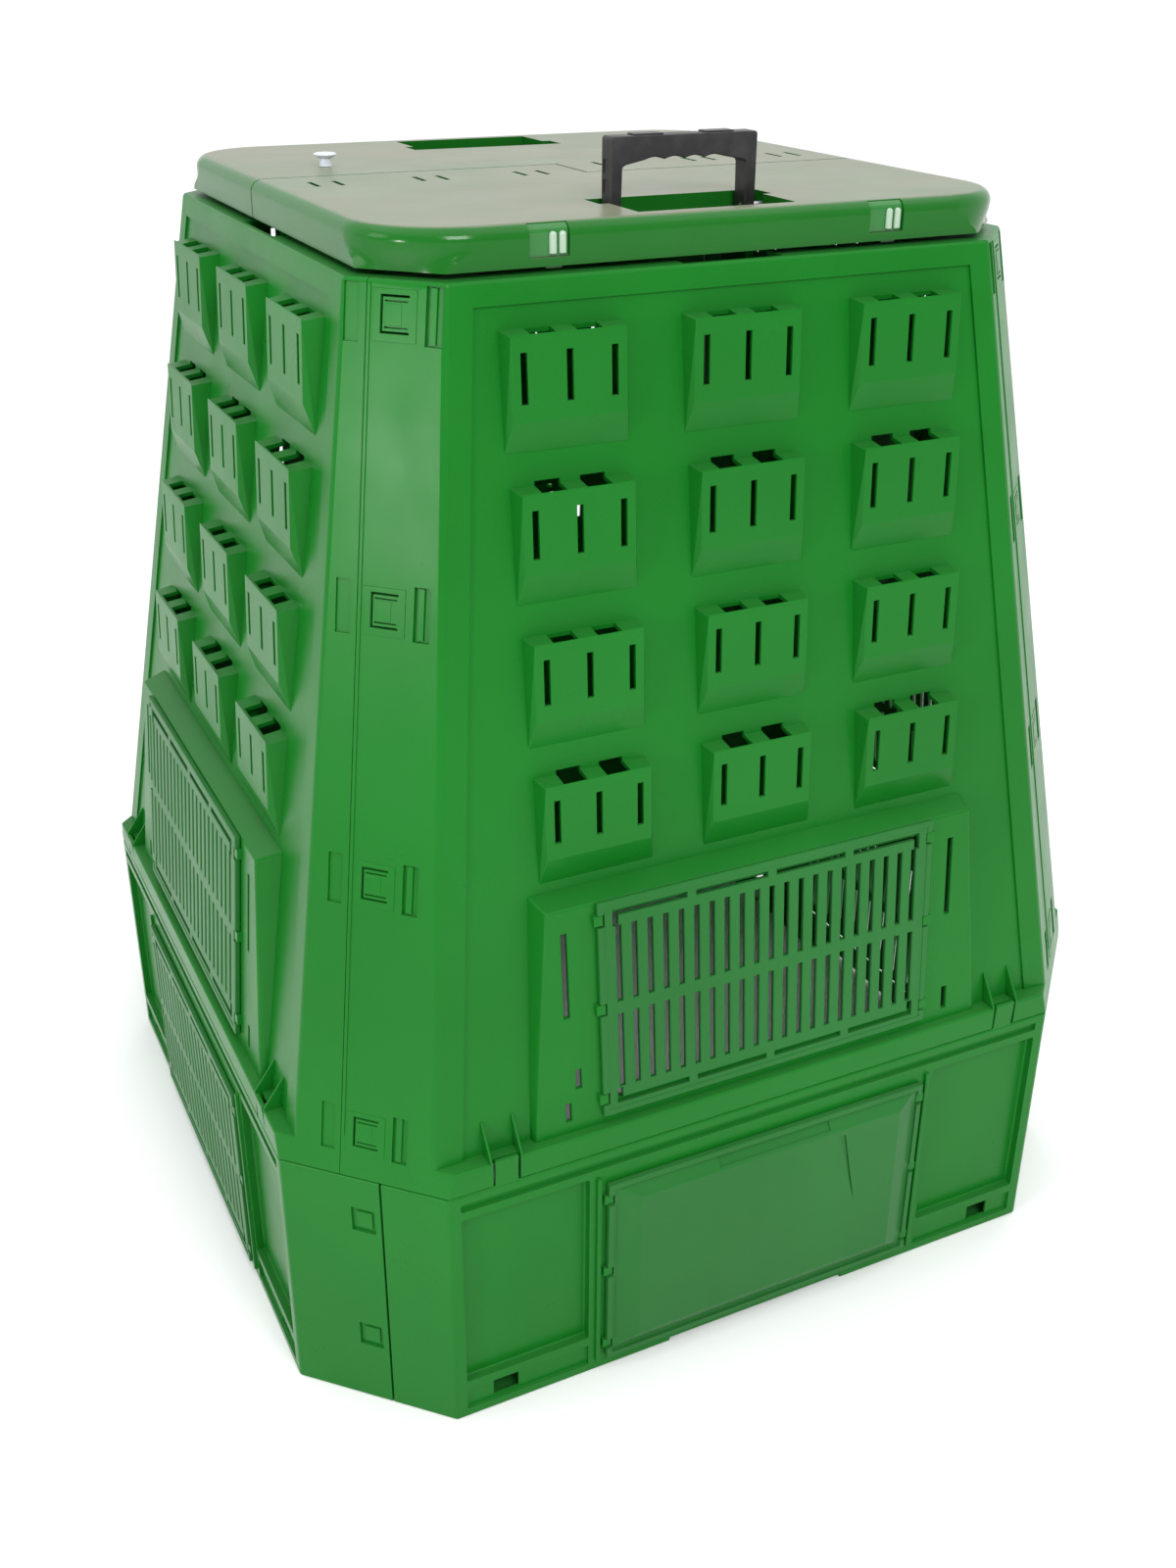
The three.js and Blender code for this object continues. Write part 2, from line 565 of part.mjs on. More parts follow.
function carryHandle() {
  const { half, leg, depth, top, bar, y, pivotZ } = HANDLE;
  const corner = 2.5;
  const foot = pivotZ - depth / 2 - 1;
  const inner = half - leg;
  const under = top - bar;
  const gripHalf = (FINGERS.count * FINGERS.pitch) / 2;
  const outline = [[-half, foot], [-half, top - corner], [-half + corner, top]];
  outline.push([half - corner, top], [half, top - corner], [half, foot], [inner + 1, foot]);
  outline.push([inner, under - 6], [inner - 3, under - 3], [gripHalf, under]);
  const steps = 4;
  for (let f = 0; f < FINGERS.count; f += 1) {
    for (let i = 1; i <= steps; i += 1) {
      const lift = i === steps ? 0 : FINGERS.lift * Math.sin((Math.PI * i) / steps);
      outline.push([gripHalf - FINGERS.pitch * (f + i / steps), under + lift]);
    }
  }
  outline.push([-inner + 3, under - 3], [-inner, under - 6], [-inner - 1, foot]);
  const grip = slabY(outline, y - depth / 2, y + depth / 2);
  const pads = [-30, 30].map((x) => box(x - 12, x + 12, y - 6, y + 6, top - 1, top + 1.2));
  const side = join([
    rodX(depth / 2, -half - 1, half + 1, y, pivotZ, 24),
    box(-half - 1, half + 1, y - depth / 2, y + depth / 2, pivotZ, top + 5),
  ]);
  const bore = rodX(PIN_R + RUNNING, -half - 1, half + 1, y, pivotZ, 16);
  return join([grip.intersect(side), ...pads]).subtract(bore);
}

function handlePin(side) {
  const ends = [HANDLE.half - HANDLE.leg + 1, TRAY.halfWide + TRAY.skin + 1].map((v) => v * side);
  return rodX(PIN_R, Math.min(...ends), Math.max(...ends), HANDLE.y, HANDLE.pivotZ, 16);
}

function hingeRod() {
  return rodX(ROD_R, -ROD_HALF, ROD_HALF, 0, HINGE_Z, 16);
}

// A bracket from the wall's inside that cradles the rod's end, clear of the swinging flaps.
function rodBracket() {
  const { inner, outer, half, armLow, armHigh } = BRACKET;
  const post = box(inner, outer, -half, half, armLow, HINGE_Z);
  const arm = box(outer - 1, WALL_HALF_LOW, -half, half, armLow, armHigh);
  const foot = box(WALL_HALF_TOP - 12, WALL_HALF_LOW, -22, 22, armLow, armHigh);
  const inside = frustum(wallHalf, armLow - 1, WALL_TOP, WALL_SKIN + GAP);
  const head = box(inner, outer, -half, half, WALL_TOP - 1, HINGE_Z);
  const seat = rodX(ROD_R + RUNNING, inner - 1, outer + 1, 0, HINGE_Z, 16);
  return join([join([post, arm, foot]).intersect(inside), head]).subtract(seat);
}

// A push-in peg with a mushroom head.
function lidPeg() {
  const { stem, head, height } = PEG;
  const profile = [
    [0, 0], [stem + 0.5, 0], [stem, 1], [stem, height - 4.5], [head - 1, height - 2.4], [head, height - 1.4],
    [head - 1.2, height], [0, height],
  ].map(([r, z]) => new THREE.Vector2(r, z));
  const geometry = new THREE.LatheGeometry(profile, 16);
  geometry.rotateX(Math.PI / 2);
  return solid(geometry);
}

// ---------------------------------------------------------------- assembly

const bin = new THREE.Group();

function place(parent, name, body, material) {
  const mesh = new THREE.Mesh(geometryOf(body), material);
  mesh.name = name;
  parent.add(mesh);
  return mesh;
}

const basePanelBody = basePanel();
const wallPanelBody = wallPanel();
const slottedBody = slottedInsert();
const doorBody = hatchDoor();
const flapBody = lidFlap();
const latchBody = lidLatch();

for (const [side, turn] of Object.entries(QUARTER)) {
  const corner = new THREE.Group();
  corner.rotation.z = turn;
  bin.add(corner);
  place(corner, `base_panel_${side}`, basePanelBody, greenPlastic());
  place(corner, `wall_panel_${side}`, wallPanelBody, greenPlastic());

  const vent = place(corner, `vent_grille_${side}`, slottedBody, greenPlastic());
  vent.rotation.x = -Math.atan(boxLean);
  vent.position.set(0, boxFace(INSERT_LOW) - GAP - 0.1, INSERT_LOW);

  const solidDoor = side === 'front' || side === 'back';
  const hatch = place(
    corner, solidDoor ? `hatch_door_${side}` : `hatch_grille_${side}`,
    solidDoor ? doorBody : slottedBody, greenPlastic(),
  );
  hatch.position.set(0, -BASE_HALF - GAP, HATCH_LOW);
}

for (const side of ['front', 'back']) {
  const half = new THREE.Group();
  half.rotation.z = QUARTER[side];
  bin.add(half);
  place(half, `lid_flap_${side}`, flapBody, lidPlastic());
  place(half, `lid_latch_${side}_left`, latchBody, lidPlastic()).position.x = -LATCH_X;
  place(half, `lid_latch_${side}_right`, latchBody, lidPlastic()).position.x = LATCH_X;
}

place(bin, 'lid_hinge_rod', hingeRod(), steel());
place(bin, 'rod_bracket_right', rodBracket(), greenPlastic());
place(bin, 'rod_bracket_left', rodBracket(), greenPlastic()).rotation.z = Math.PI;
place(bin, 'carry_handle', carryHandle(), blackPlastic());
place(bin, 'handle_pin_left', handlePin(-1), steel());
place(bin, 'handle_pin_right', handlePin(1), steel());
place(bin, 'lid_peg', lidPeg(), whitePlastic()).position.set(PEG.x, PEG.y, LID_TOP + GAP);

export default bin;
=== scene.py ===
"""Looks for the garden compost bin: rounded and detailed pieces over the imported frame.

Shapes are built in millimetres in the front panel's position, with the frame's own axes:
+Z up, front face towards -Y. finished() scales them to metres and turns them to their side.
"""

import math

import bmesh
import bpy
from mathutils import Matrix, Vector


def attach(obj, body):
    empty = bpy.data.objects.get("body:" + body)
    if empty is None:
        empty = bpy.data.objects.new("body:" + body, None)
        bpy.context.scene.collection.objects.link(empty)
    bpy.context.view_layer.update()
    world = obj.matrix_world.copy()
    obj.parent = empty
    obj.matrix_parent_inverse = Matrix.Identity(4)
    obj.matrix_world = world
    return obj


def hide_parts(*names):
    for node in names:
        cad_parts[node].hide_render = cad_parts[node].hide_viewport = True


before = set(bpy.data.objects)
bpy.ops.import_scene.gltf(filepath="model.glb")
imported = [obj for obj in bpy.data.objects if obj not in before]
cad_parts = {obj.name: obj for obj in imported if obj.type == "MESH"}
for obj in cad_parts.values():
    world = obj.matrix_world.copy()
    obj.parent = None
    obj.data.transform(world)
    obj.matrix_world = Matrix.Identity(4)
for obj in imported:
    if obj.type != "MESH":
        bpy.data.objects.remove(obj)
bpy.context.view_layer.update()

MM = 0.001
ROOT2 = math.sqrt(2)

# ------------------------------------------------------------------ sizes, in millimetres

GAP = 0.3
BASE_HALF = 400
BASE_TOP = 239
BASE_SKIN = 5
BASE_CORNER = 105
BASE_SEAM = 15

LEDGE_Z = 262
WALL_TOP = 910
WALL_HALF_LOW = 387
WALL_HALF_TOP = 280
WALL_CORNER_TOP = 54
WALL_SKIN = 5
WALL_SEAM = -20
WALL_SEAM_GAP = 0.5
BASE_SEAM_GAP = 2

FIELD_DEPTH = 2
FIELD_TOP = WALL_TOP - 17
FIELD_HALF_TOP = 208
FIELD_HALF_LOW = 277
RIM_THICK = 4
RIM_INNER_HALF = 252
RIM_INNER_SUM = 440
HINGE_NOTCH_HALF = 42

SCOOP_COLUMNS = (-144, 0, 144)
SCOOP_TOPS = (877, 770.4, 663.7, 557)
SCOOP_HALF = 44.5
SCOOP_FLARE = 3
SCOOP_DEPTH = 17
SCOOP_FOOT_FLARE = 4.5
SCOOP_DROP = 2.5
SCOOP_LEAN = 3.2
SCOOP_FACE = 61
SCOOP_HEIGHT = 83.5
SCOOP_WALL = 3
SCOOP_ROUND = 1.6
SCOOP_OPEN_FOOT = 9
SCOOP_HOLE_OFFSET = 18
SCOOP_HOLE_HALF = 10
SCOOP_HOLE_DEPTH = 7
SCOOP_SLOT_OFFSET = 35
SCOOP_SLOT_HALF = 2.6
SCOOP_SLOT_TOP = 13
SCOOP_SLOT_LENGTH = 35.5

BOX_TOP = 460
BOX_LOW_Y = 391
BOX_TOP_Y = 373
BOX_HALF_TOP = 198
BOX_HALF_LOW = 216
BOX_SKIN = 4
BOX_FOOT_FLARE = 3
BOX_HEAD_FLARE = 6
BOX_OPENING = (147, 12, 178)
BOX_SLOT_HALF = 2.6
BOX_SLOTS = ((-184, 366, 74), (-176, 300, 18), (-186, 272, 17), (180, 366, 72), (182, 272, 22))

INSERT_HALF = 157
INSERT_HEIGHT = 192
INSERT_PLATE = 4
INSERT_RIM_WIDTH = 5
SLOTTED_RIM = 0.6
DOOR_RIM = 2
INSERT_NOTCHES = (16, 98, 176)
INSERT_LOW = 270
NOTCH_WIDTH = 6
NOTCH_HALF = 5.5
LUG_CLEAR = 1
HATCH_LOW = 15
DOOR_RAISE = 8
DOOR_OUTER = (150, 8, 187)
DOOR_INNER = (129.5, 22, 176)
DOOR_GROOVE_X = (-54, 57)
DOOR_GROOVE_Z = (178, 186)
DOOR_DART = ((66, 170), (72, 170), (87, 92))

GRILLE_COLUMNS = 21
GRILLE_PITCH = 13.9
GRILLE_SLOT = 4.8
GRILLE_LOW = 24
GRILLE_ROW = 67
GRILLE_RAIL = 11
VENT_COUNT = 4
VENT_LENGTH = 66
VENT_WEB = 8
VENT_HEIGHT = 5
VENT_MARGIN = 9
VENT_LEG = 14

CLIP_X = 245
CLIP_HALF = 10
CLIP_HIGH = 264
CLIP_LOW = 242
CLIP_WINDOW_HALF = 12
CLIP_RIB_WIDTH = 2
CLIP_RIB_RISE = 28
SNAP_HEIGHTS = (280, 484, 688, 888)
SNAP_CUT_HALF = 12.8
SNAP_TAB_HALF = 11
SNAP_POCKET_HALF = 19.5

FOOT_THICK = 4
FOOT_WIDTH = 24
FOOT_NOTCH_HALF = 91
POCKET_X = (172, 285)
POCKET_Z = (40, 215)
POCKET_DEPTH = 8
POCKET_WALL = 3
LOW_POCKET_Z = (9, 31)
LOW_POCKET_DEPTH = 3
LIFT_HOLE_X = (237, 260)
LIFT_HOLE_Z = (11.6, 27.4)
BASE_RIB_X = (162, 166)
BASE_RIB_Z = (12, 214)
BASE_RIB_RISE = 3
BASE_GROOVE_HALF = 285
BASE_GROOVE_Z = (223, 231)
BASE_GROOVE_DEPTH = 3.5
BASE_TAB_HEIGHTS = (60, 185)
BASE_TAB_SIZE = 24
HATCH_OPENING = (146, 12, 180)

LID_HALF = 270
LID_BOTTOM = 914
LID_TOP = 943
LID_SKIN = 3.5
LID_EDGE = 10
LID_CORNER_CUT = 48
LID_CORNER_R = 74
SEAM_STEP = 30
SEAM_HALF_GAP = 1
HINGE_Z = 935
ROD_R = 3
ROD_HALF = 255
KNUCKLE_R = 6.5
KNUCKLE_HALF = 14
KNUCKLE_X = (-222, -134, -45)
SLIT_X = ((-12, -8), (8, 12))
SLIT_Y = (-31, -4)
RUNNING = 0.15

TRAY_FLOOR = 922
TRAY_FRONT = -250
TRAY_BACK = -177
TRAY_STEP = -203
TRAY_HALF = 66
TRAY_HALF_WIDE = 74
TRAY_SKIN = 3

HANDLE_HALF = 62
HANDLE_LEG = 9.5
HANDLE_DEPTH = 16
HANDLE_TOP = 988
HANDLE_BAR = 17
FINGER_COUNT = 4
FINGER_PITCH = 17
FINGER_LIFT = 1.8
HANDLE_CORNER = 2.5
PAD_X = (-30, 30)
PAD_SIZE = (12, 6, 1.2)
DIMPLE_HEIGHTS = (948, 962)
DIMPLE_SIZE = (0.9, 5.5, 10)
HANDLE_Y = -190
HANDLE_PIVOT_Z = 933
PIN_R = 3

LATCH_X = 140
LATCH_LOW = -20
LATCH_HIGH = 10.5
LATCH_SILL = 920
LATCH_DEPTH = 7
LATCH_FACE = 2.6
LATCH_CLEAR = 0.3
BARREL_R = 3
BARREL_X = (-1.7, 5.7)
BARREL_LOW = 922
BARREL_HIGH = 937
LATCH_HOOK_HALF = 6
PEG_X = -187
PEG_Y = 92

BRACKET_POST = (249, 256)
BRACKET_HALF = 4.4
BRACKET_FOOT_HALF = 22
BRACKET_Z = (878, 896)

TURN = {"front": 0, "right": 90, "back": 180, "left": -90}

# ------------------------------------------------------------------ solids

workshop = bpy.data.collections.new("workshop")
bpy.context.scene.collection.children.link(workshop)


def to_object(bm, name="piece"):
    """The bmesh as an object in the workshop, with its faces turned outwards."""
    bmesh.ops.recalc_face_normals(bm, faces=bm.faces)
    mesh = bpy.data.meshes.new(name)
    bm.to_mesh(mesh)
    bm.free()
    obj = bpy.data.objects.new(name, mesh)
    workshop.objects.link(obj)
    return obj


def round_edges(bm, radius, segments, only=None):
    """Rounds the edges of a simple solid; only(edge) can pick some of them."""
    sharp = [e for e in bm.edges if e.is_manifold and e.calc_face_angle() > math.radians(15)]
    chosen = [e for e in sharp if only is None or only(e)]
    bmesh.ops.bevel(
        bm, geom=chosen, offset=radius, offset_type="OFFSET", segments=segments, profile=0.5,
        affect="EDGES", clamp_overlap=True,
    )


def hull(points, radius=0.0, segments=3, only=None):
    """The convex solid round some points, with its edges rounded."""
    bm = bmesh.new()
    for point in points:
        bm.verts.new(point)
    made = bmesh.ops.convex_hull(bm, input=bm.verts)
    spare = made["geom_interior"] + made["geom_unused"]
    inside = {v for v in spare if isinstance(v, bmesh.types.BMVert)}
    bmesh.ops.delete(bm, geom=list(inside), context="VERTS")
    bmesh.ops.dissolve_limit(bm, angle_limit=math.radians(0.3), verts=bm.verts, edges=bm.edges)
    if radius:
        round_edges(bm, radius, segments, only)
    return to_object(bm)


def box(x0, x1, y0, y1, z0, z1, radius=0.0, segments=3):
    corners = [(x, y, z) for x in (x0, x1) for y in (y0, y1) for z in (z0, z1)]
    return hull(corners, radius, segments)


def loft(rings):
    """A closed solid through rings of points that match one to one."""
    bm = bmesh.new()
    loops = [[bm.verts.new(point) for point in ring] for ring in rings]
    for low, high in zip(loops, loops[1:]):
        for i in range(len(low)):
            j = (i + 1) % len(low)
            bm.faces.new((low[i], low[j], high[j], high[i]))
    bm.faces.new(loops[0][::-1])
    bm.faces.new(loops[-1])
    return to_object(bm)


def slab_y(outline, y0, y1, radius=0.0, segments=3):
    """An outline of (x, z) points, extruded along Y and rounded along both rims."""
    bm = bmesh.new()
    front = [bm.verts.new((x, y0, z)) for x, z in outline]
    back = [bm.verts.new((x, y1, z)) for x, z in outline]
    for i in range(len(outline)):
        j = (i + 1) % len(outline)
        bm.faces.new((front[i], front[j], back[j], back[i]))
    bm.faces.new(front[::-1])
    bm.faces.new(back)
    bmesh.ops.recalc_face_normals(bm, faces=bm.faces)
    if radius:
        rim = lambda e: abs(e.verts[0].co.y - e.verts[1].co.y) < 1e-4
        round_edges(bm, radius, segments, rim)
    return to_object(bm)


def prism(outline, z0, z1):
    return loft([[(x, y, z0) for x, y in outline], [(x, y, z1) for x, y in outline]])


def rod_x(radius, x0, x1, y, z, segments=48, chamfer=0.0):
    """A cylinder along X with chamfered ends."""
    def ring(x, r):
        angles = [2 * math.pi * i / segments for i in range(segments)]
        return [(x, y + r * math.cos(a), z + r * math.sin(a)) for a in angles]
    rings = [ring(x0, radius - chamfer), ring(x1, radius - chamfer)]
    if chamfer:
        rings[1:1] = [ring(x0 + chamfer, radius), ring(x1 - chamfer, radius)]
    return loft(rings)


def spun(profile, x, y, z, segments=48):
    """A round solid about a vertical axis, from (radius, height) points."""
    rings = []
    for radius, height in profile:
        angles = [2 * math.pi * i / segments for i in range(segments)]
        rings.append([(x + radius * math.cos(a), y + radius * math.sin(a), z + height) for a in angles])
    return loft(rings)


def slot_cutter(x0, x1, z0, z1, face, depth, lip=0.7):
    """Cuts a slot through a face that looks towards -Y, and eases its rim; face(z) is its y."""
    def ring(grow, offset):
        a, b, c, d = x0 - grow, x1 + grow, z0 - grow, z1 + grow
        return [(x, face(z) + offset, z) for x, z in ((a, c), (b, c), (b, d), (a, d))]
    return loft([ring(lip, -4), ring(lip, 0), ring(0, lip), ring(0, depth)])


def combined(body, tools, operation):
    """body after one boolean with each tool; the tools are used up."""
    for tool in tools:
        modifier = body.modifiers.new("combine", "BOOLEAN")
        modifier.operation = operation
        modifier.solver = "MANIFOLD"
        modifier.object = tool
    depsgraph = bpy.context.evaluated_depsgraph_get()
    mesh = bpy.data.meshes.new_from_object(body.evaluated_get(depsgraph))
    spent = body.data
    body.modifiers.clear()
    body.data = mesh
    bpy.data.meshes.remove(spent)
    for tool in tools:
        bpy.data.objects.remove(tool)
    return body


def joined(body, tools):
    return combined(body, tools, "UNION")


def cut(body, tools):
    return combined(body, tools, "DIFFERENCE")


def common(body, tools):
    return combined(body, tools, "INTERSECT")


def turned(obj, degrees):
    obj.data.transform(Matrix.Rotation(math.radians(degrees), 4, "Z"))
    return obj


def again(obj):
    """A second copy of a finished shape."""
    copy = obj.copy()
    copy.data = obj.data.copy()
    workshop.objects.link(copy)
    return copy


def finished(obj, name, node, body, slot, material, degrees=0, offset=(0, 0, 0), tilt=0):
    """Places a shape in the row frame, smooths its shading and lets it stand for its CAD node."""
    place = (
        Matrix.Rotation(math.radians(degrees), 4, "Z")
        @ Matrix.Translation(offset)
        @ Matrix.Rotation(tilt, 4, "X")
    )
    obj.data.transform(Matrix.Scale(MM, 4) @ place)
    obj.name = name
    obj.data.name = name
    obj.data.materials.clear()
    obj.data.materials.append(material)
    obj.data.shade_smooth()
    obj.data.set_sharp_from_angle(angle=math.radians(38))
    weighted = obj.modifiers.new("weighted", "WEIGHTED_NORMAL")
    weighted.mode = "FACE_AREA"
    weighted.weight = 80
    weighted.keep_sharp = True
    workshop.objects.unlink(obj)
    bpy.context.scene.collection.objects.link(obj)
    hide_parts(node)
    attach(obj, body)
    return obj


# ------------------------------------------------------------------ the bin's outline

BASE_SUM = 2 * BASE_HALF - BASE_CORNER
TOP_SUM = 2 * WALL_HALF_TOP - WALL_CORNER_TOP
WALL_SLOPE = (WALL_HALF_LOW - WALL_HALF_TOP) / (WALL_TOP - LEDGE_Z)
BOX_LEAN = (BOX_LOW_Y - BOX_TOP_Y) / (BOX_TOP - LEDGE_Z)


def corner_sum(z):
    """x + y on the corner faces at height z."""
    if z <= BASE_TOP:
        return BASE_SUM
    return BASE_SUM + (TOP_SUM - BASE_SUM) * (z - BASE_TOP) / (WALL_TOP - BASE_TOP)


def wall_half(z):
    return WALL_HALF_LOW - WALL_SLOPE * (z - LEDGE_Z)


def base_half(z):
    return BASE_HALF


def wall_y(z):
    return -wall_half(z)


def field_y(z):
    return -(wall_half(z) - FIELD_DEPTH)


def box_y(z):
    return -(BOX_LOW_Y - BOX_LEAN * (z - LEDGE_Z))


def octagon(half, total, z):
    side = total - half
    turns = ((1, 1), (-1, 1), (-1, -1), (1, -1))
    return [(sx * x, sy * y, z) for sx, sy in turns for x, y in ((side, half), (half, side))]


def frustum(half_at, z0, z1, inset=0.0, radius=0.0):
    points = []
    for z in (z0, z1):
        points += octagon(half_at(z) - inset, corner_sum(z) - inset * ROOT2, z)
    return hull(points, radius)


def front_sector(seam, gap, z0, z1, reach=700):
    """The front panel's share of the bin, between its two corner seams."""
    x, y = seam * ROOT2, -gap / ROOT2
    return prism([(x, y), (x - reach, y - reach), (x + reach, y - reach)], z0, z1)


def corner_block(e0, e1, z0, z1, out, depth, radius=0.0):
    """A block on the corner face left of the front; e runs along the face towards the front."""
    points = []
    for z in (z0, z1):
        for d in (-out, depth):
            r = corner_sum(z) / ROOT2 - d
            points += [((e - r) / ROOT2, (-e - r) / ROOT2, z) for e in (e0, e1)]
    return hull(points, radius, 2)


def right_corner_block(*size):
    """The same block on the corner face right of the front."""
    return turned(corner_block(*size), 90)


# ------------------------------------------------------------------ wall panel


def scoop_body(x, top):
    front = field_y(top) - SCOOP_DEPTH
    foot = top - SCOOP_HEIGHT
    points = []
    for s in (-1, 1):
        points += [
            (x + s * (SCOOP_HALF + SCOOP_FLARE), field_y(top) + 1, top),
            (x + s * SCOOP_HALF, front, top - SCOOP_DROP),
            (x + s * SCOOP_HALF, front - SCOOP_LEAN, top - SCOOP_FACE),
            (x + s * (SCOOP_HALF + SCOOP_FOOT_FLARE), field_y(foot) - 0.1, foot),
            (x + s * (SCOOP_HALF + SCOOP_FOOT_FLARE), field_y(foot) + 1, foot),
        ]
    in_front = lambda e: max(v.co.y for v in e.verts) < field_y(foot) + 4
    return hull(points, SCOOP_ROUND, 3, in_front)


def scoop_hollow(x, top):
    front = field_y(top) - SCOOP_DEPTH + SCOOP_WALL
    half = SCOOP_HALF - SCOOP_WALL
    low = top - SCOOP_HEIGHT + SCOOP_OPEN_FOOT
    points = []
    for s in (-1, 1):
        points += [
            (x + s * half, wall_y(top) + WALL_SKIN + 1, top - SCOOP_WALL),
            (x + s * half, front, top - SCOOP_DROP - SCOOP_WALL),
            (x + s * half, front - SCOOP_LEAN, top - SCOOP_FACE),
            (x + s * half, field_y(low), low),
            (x + s * half, wall_y(low) + WALL_SKIN + 1, low),
        ]
    return hull(points)


def scoop_holes(x, top, deep):
    """Two holes in the top, which on every second row also bite into the wall behind."""
    front = field_y(top) - SCOOP_DEPTH + SCOOP_WALL
    back = wall_y(top) + WALL_SKIN + 2 if deep else field_y(top) - 0.5
    rise = 3 if deep else 1
    holes = []
    for s in (-1, 1):
        x0 = x + s * SCOOP_HOLE_OFFSET - SCOOP_HOLE_HALF
        x1 = x0 + 2 * SCOOP_HOLE_HALF
        holes.append(box(x0, x1, front, back, top - SCOOP_HOLE_DEPTH, top + rise))
    return holes


def scoop_slots(x, top):
    front = field_y(top) - SCOOP_DEPTH
    face = lambda z: front - SCOOP_LEAN * (top - z) / SCOOP_FACE
    high = top - SCOOP_SLOT_TOP
    slots = []
    for s in (-1, 0, 1):
        centre = x + s * SCOOP_SLOT_OFFSET
        x0, x1 = centre - SCOOP_SLOT_HALF, centre + SCOOP_SLOT_HALF
        slots.append(slot_cutter(x0, x1, high - SCOOP_SLOT_LENGTH, high, face, 6, 0.4))
    return slots


def grille_box(inset=0.0, radius=0.0):
    """The raised box that carries a wall insert; its front is a leaning plane."""
    low = LEDGE_Z - 4 + inset
    high = BOX_TOP - inset
    back = (lambda z: wall_y(z) + WALL_SKIN + 1) if inset else (lambda z: field_y(z) + 1)
    rise = 0 if inset else BOX_HEAD_FLARE
    points = []
    for s in (-1, 1):
        points += [
            (s * (BOX_HALF_LOW - inset), box_y(low) + inset, low),
            (s * (BOX_HALF_TOP - inset), box_y(high) + inset, high),
            (s * (BOX_HALF_LOW + BOX_FOOT_FLARE - inset), back(low), low),
            (s * (BOX_HALF_TOP + BOX_HEAD_FLARE - inset), back(high + BOX_HEAD_FLARE), high + rise),
        ]
    return hull(points, radius)


def box_openings():
    half, low, high = BOX_OPENING
    openings = [slot_cutter(-half, half, INSERT_LOW + low, INSERT_LOW + high, box_y, 12, 0.5)]
    for x, z, height in BOX_SLOTS:
        x0, x1 = x - BOX_SLOT_HALF, x + BOX_SLOT_HALF
        openings.append(slot_cutter(x0, x1, z, z + height, box_y, 12, 0.5))
    return openings


def clip_ribs(x):
    """Thin ribs that brace the flange beside a clip window."""
    ribs = []
    foot, head = LEDGE_Z - 3, LEDGE_Z + CLIP_RIB_RISE
    for x0 in (x - CLIP_WINDOW_HALF - CLIP_RIB_WIDTH, x + CLIP_WINDOW_HALF):
        points = []
        for v in (x0, x0 + CLIP_RIB_WIDTH):
            points += [
                (v, -BASE_HALF, LEDGE_Z - 16), (v, -BASE_HALF + 5, LEDGE_Z - 16),
                (v, -BASE_HALF, LEDGE_Z + 2), (v, field_y(foot) + 1, foot),
                (v, field_y(head) - 1, head), (v, field_y(head) + 1, head),
            ]
        ribs.append(hull(points, 0.5, 2))
    return ribs


def clip_window(x):
    half = CLIP_WINDOW_HALF
    return box(x - half, x + half, -BASE_HALF - 2, -BASE_HALF + 6, CLIP_LOW - 6, LEDGE_Z + 3)


def snap_cuts(z):
    """A square snap tab on the wide wing, freed by thin cuts, and pockets on either side."""
    through = WALL_SKIN + 3
    low, high = z - SNAP_POCKET_HALF, z + SNAP_POCKET_HALF
    cuts = [corner_block(-9.2, -7.2, z - SNAP_CUT_HALF, z + SNAP_CUT_HALF, 3, through)]
    rails = ((-7.5, 12.4, SNAP_TAB_HALF, SNAP_CUT_HALF, through), (-6, 11.4, 8, 9.2, 2))
    for e0, e1, near, far, depth in rails:
        cuts.append(corner_block(e0, e1, z + near, z + far, 3, depth))
        cuts.append(corner_block(e0, e1, z - far, z - near, 3, depth))
    cuts.append(corner_block(24.4, 37, low, high, 3, 2.8))
    cuts.append(right_corner_block(-37, -25.5, low, high, 3, 1.8))
    return cuts


def snap_frame(z):
    """The faint raised square round a tab."""
    return corner_block(-15, 18, z - 18, z + 16.5, 0.5, 2, 0.3)


def snap_details(z):
    """The tab's raised middle and the raised band inside the pocket beside it."""
    return [
        corner_block(-5.6, 7, z - 7.2, z + 7.2, 0.8, 1, 0.4),
        corner_block(27, 32, z - 18.5, z + 18.5, -1, 4, 0.4),
    ]


def wall_border():
    """The thin outer lip that closes the corner face's left-hand strip, along the seam."""
    e0, e1 = WALL_SEAM + 0.6, WALL_SEAM + 3.4
    return [corner_block(e0, e1, LEDGE_Z + 12, WALL_TOP - 3, 0.9, 2, 0.5)]


def wall_shell():
    low = BASE_TOP + GAP
    shell = joined(
        frustum(base_half, low, LEDGE_Z, 0, 1.8), [frustum(wall_half, low + 4, WALL_TOP, 0, 3)]
    )
    inside = [
        frustum(base_half, low - 1, LEDGE_Z - 4, WALL_SKIN),
        frustum(wall_half, low - 1, WALL_TOP + 1, WALL_SKIN),
    ]
    shell = cut(shell, inside)
    rim_low = WALL_TOP - RIM_THICK
    mouth = octagon(RIM_INNER_HALF, RIM_INNER_SUM, rim_low - 1)
    mouth += octagon(RIM_INNER_HALF, RIM_INNER_SUM, WALL_TOP + 1)
    rim = cut(frustum(wall_half, rim_low, WALL_TOP, 1.5), [hull(mouth)])
    return joined(shell, [rim])


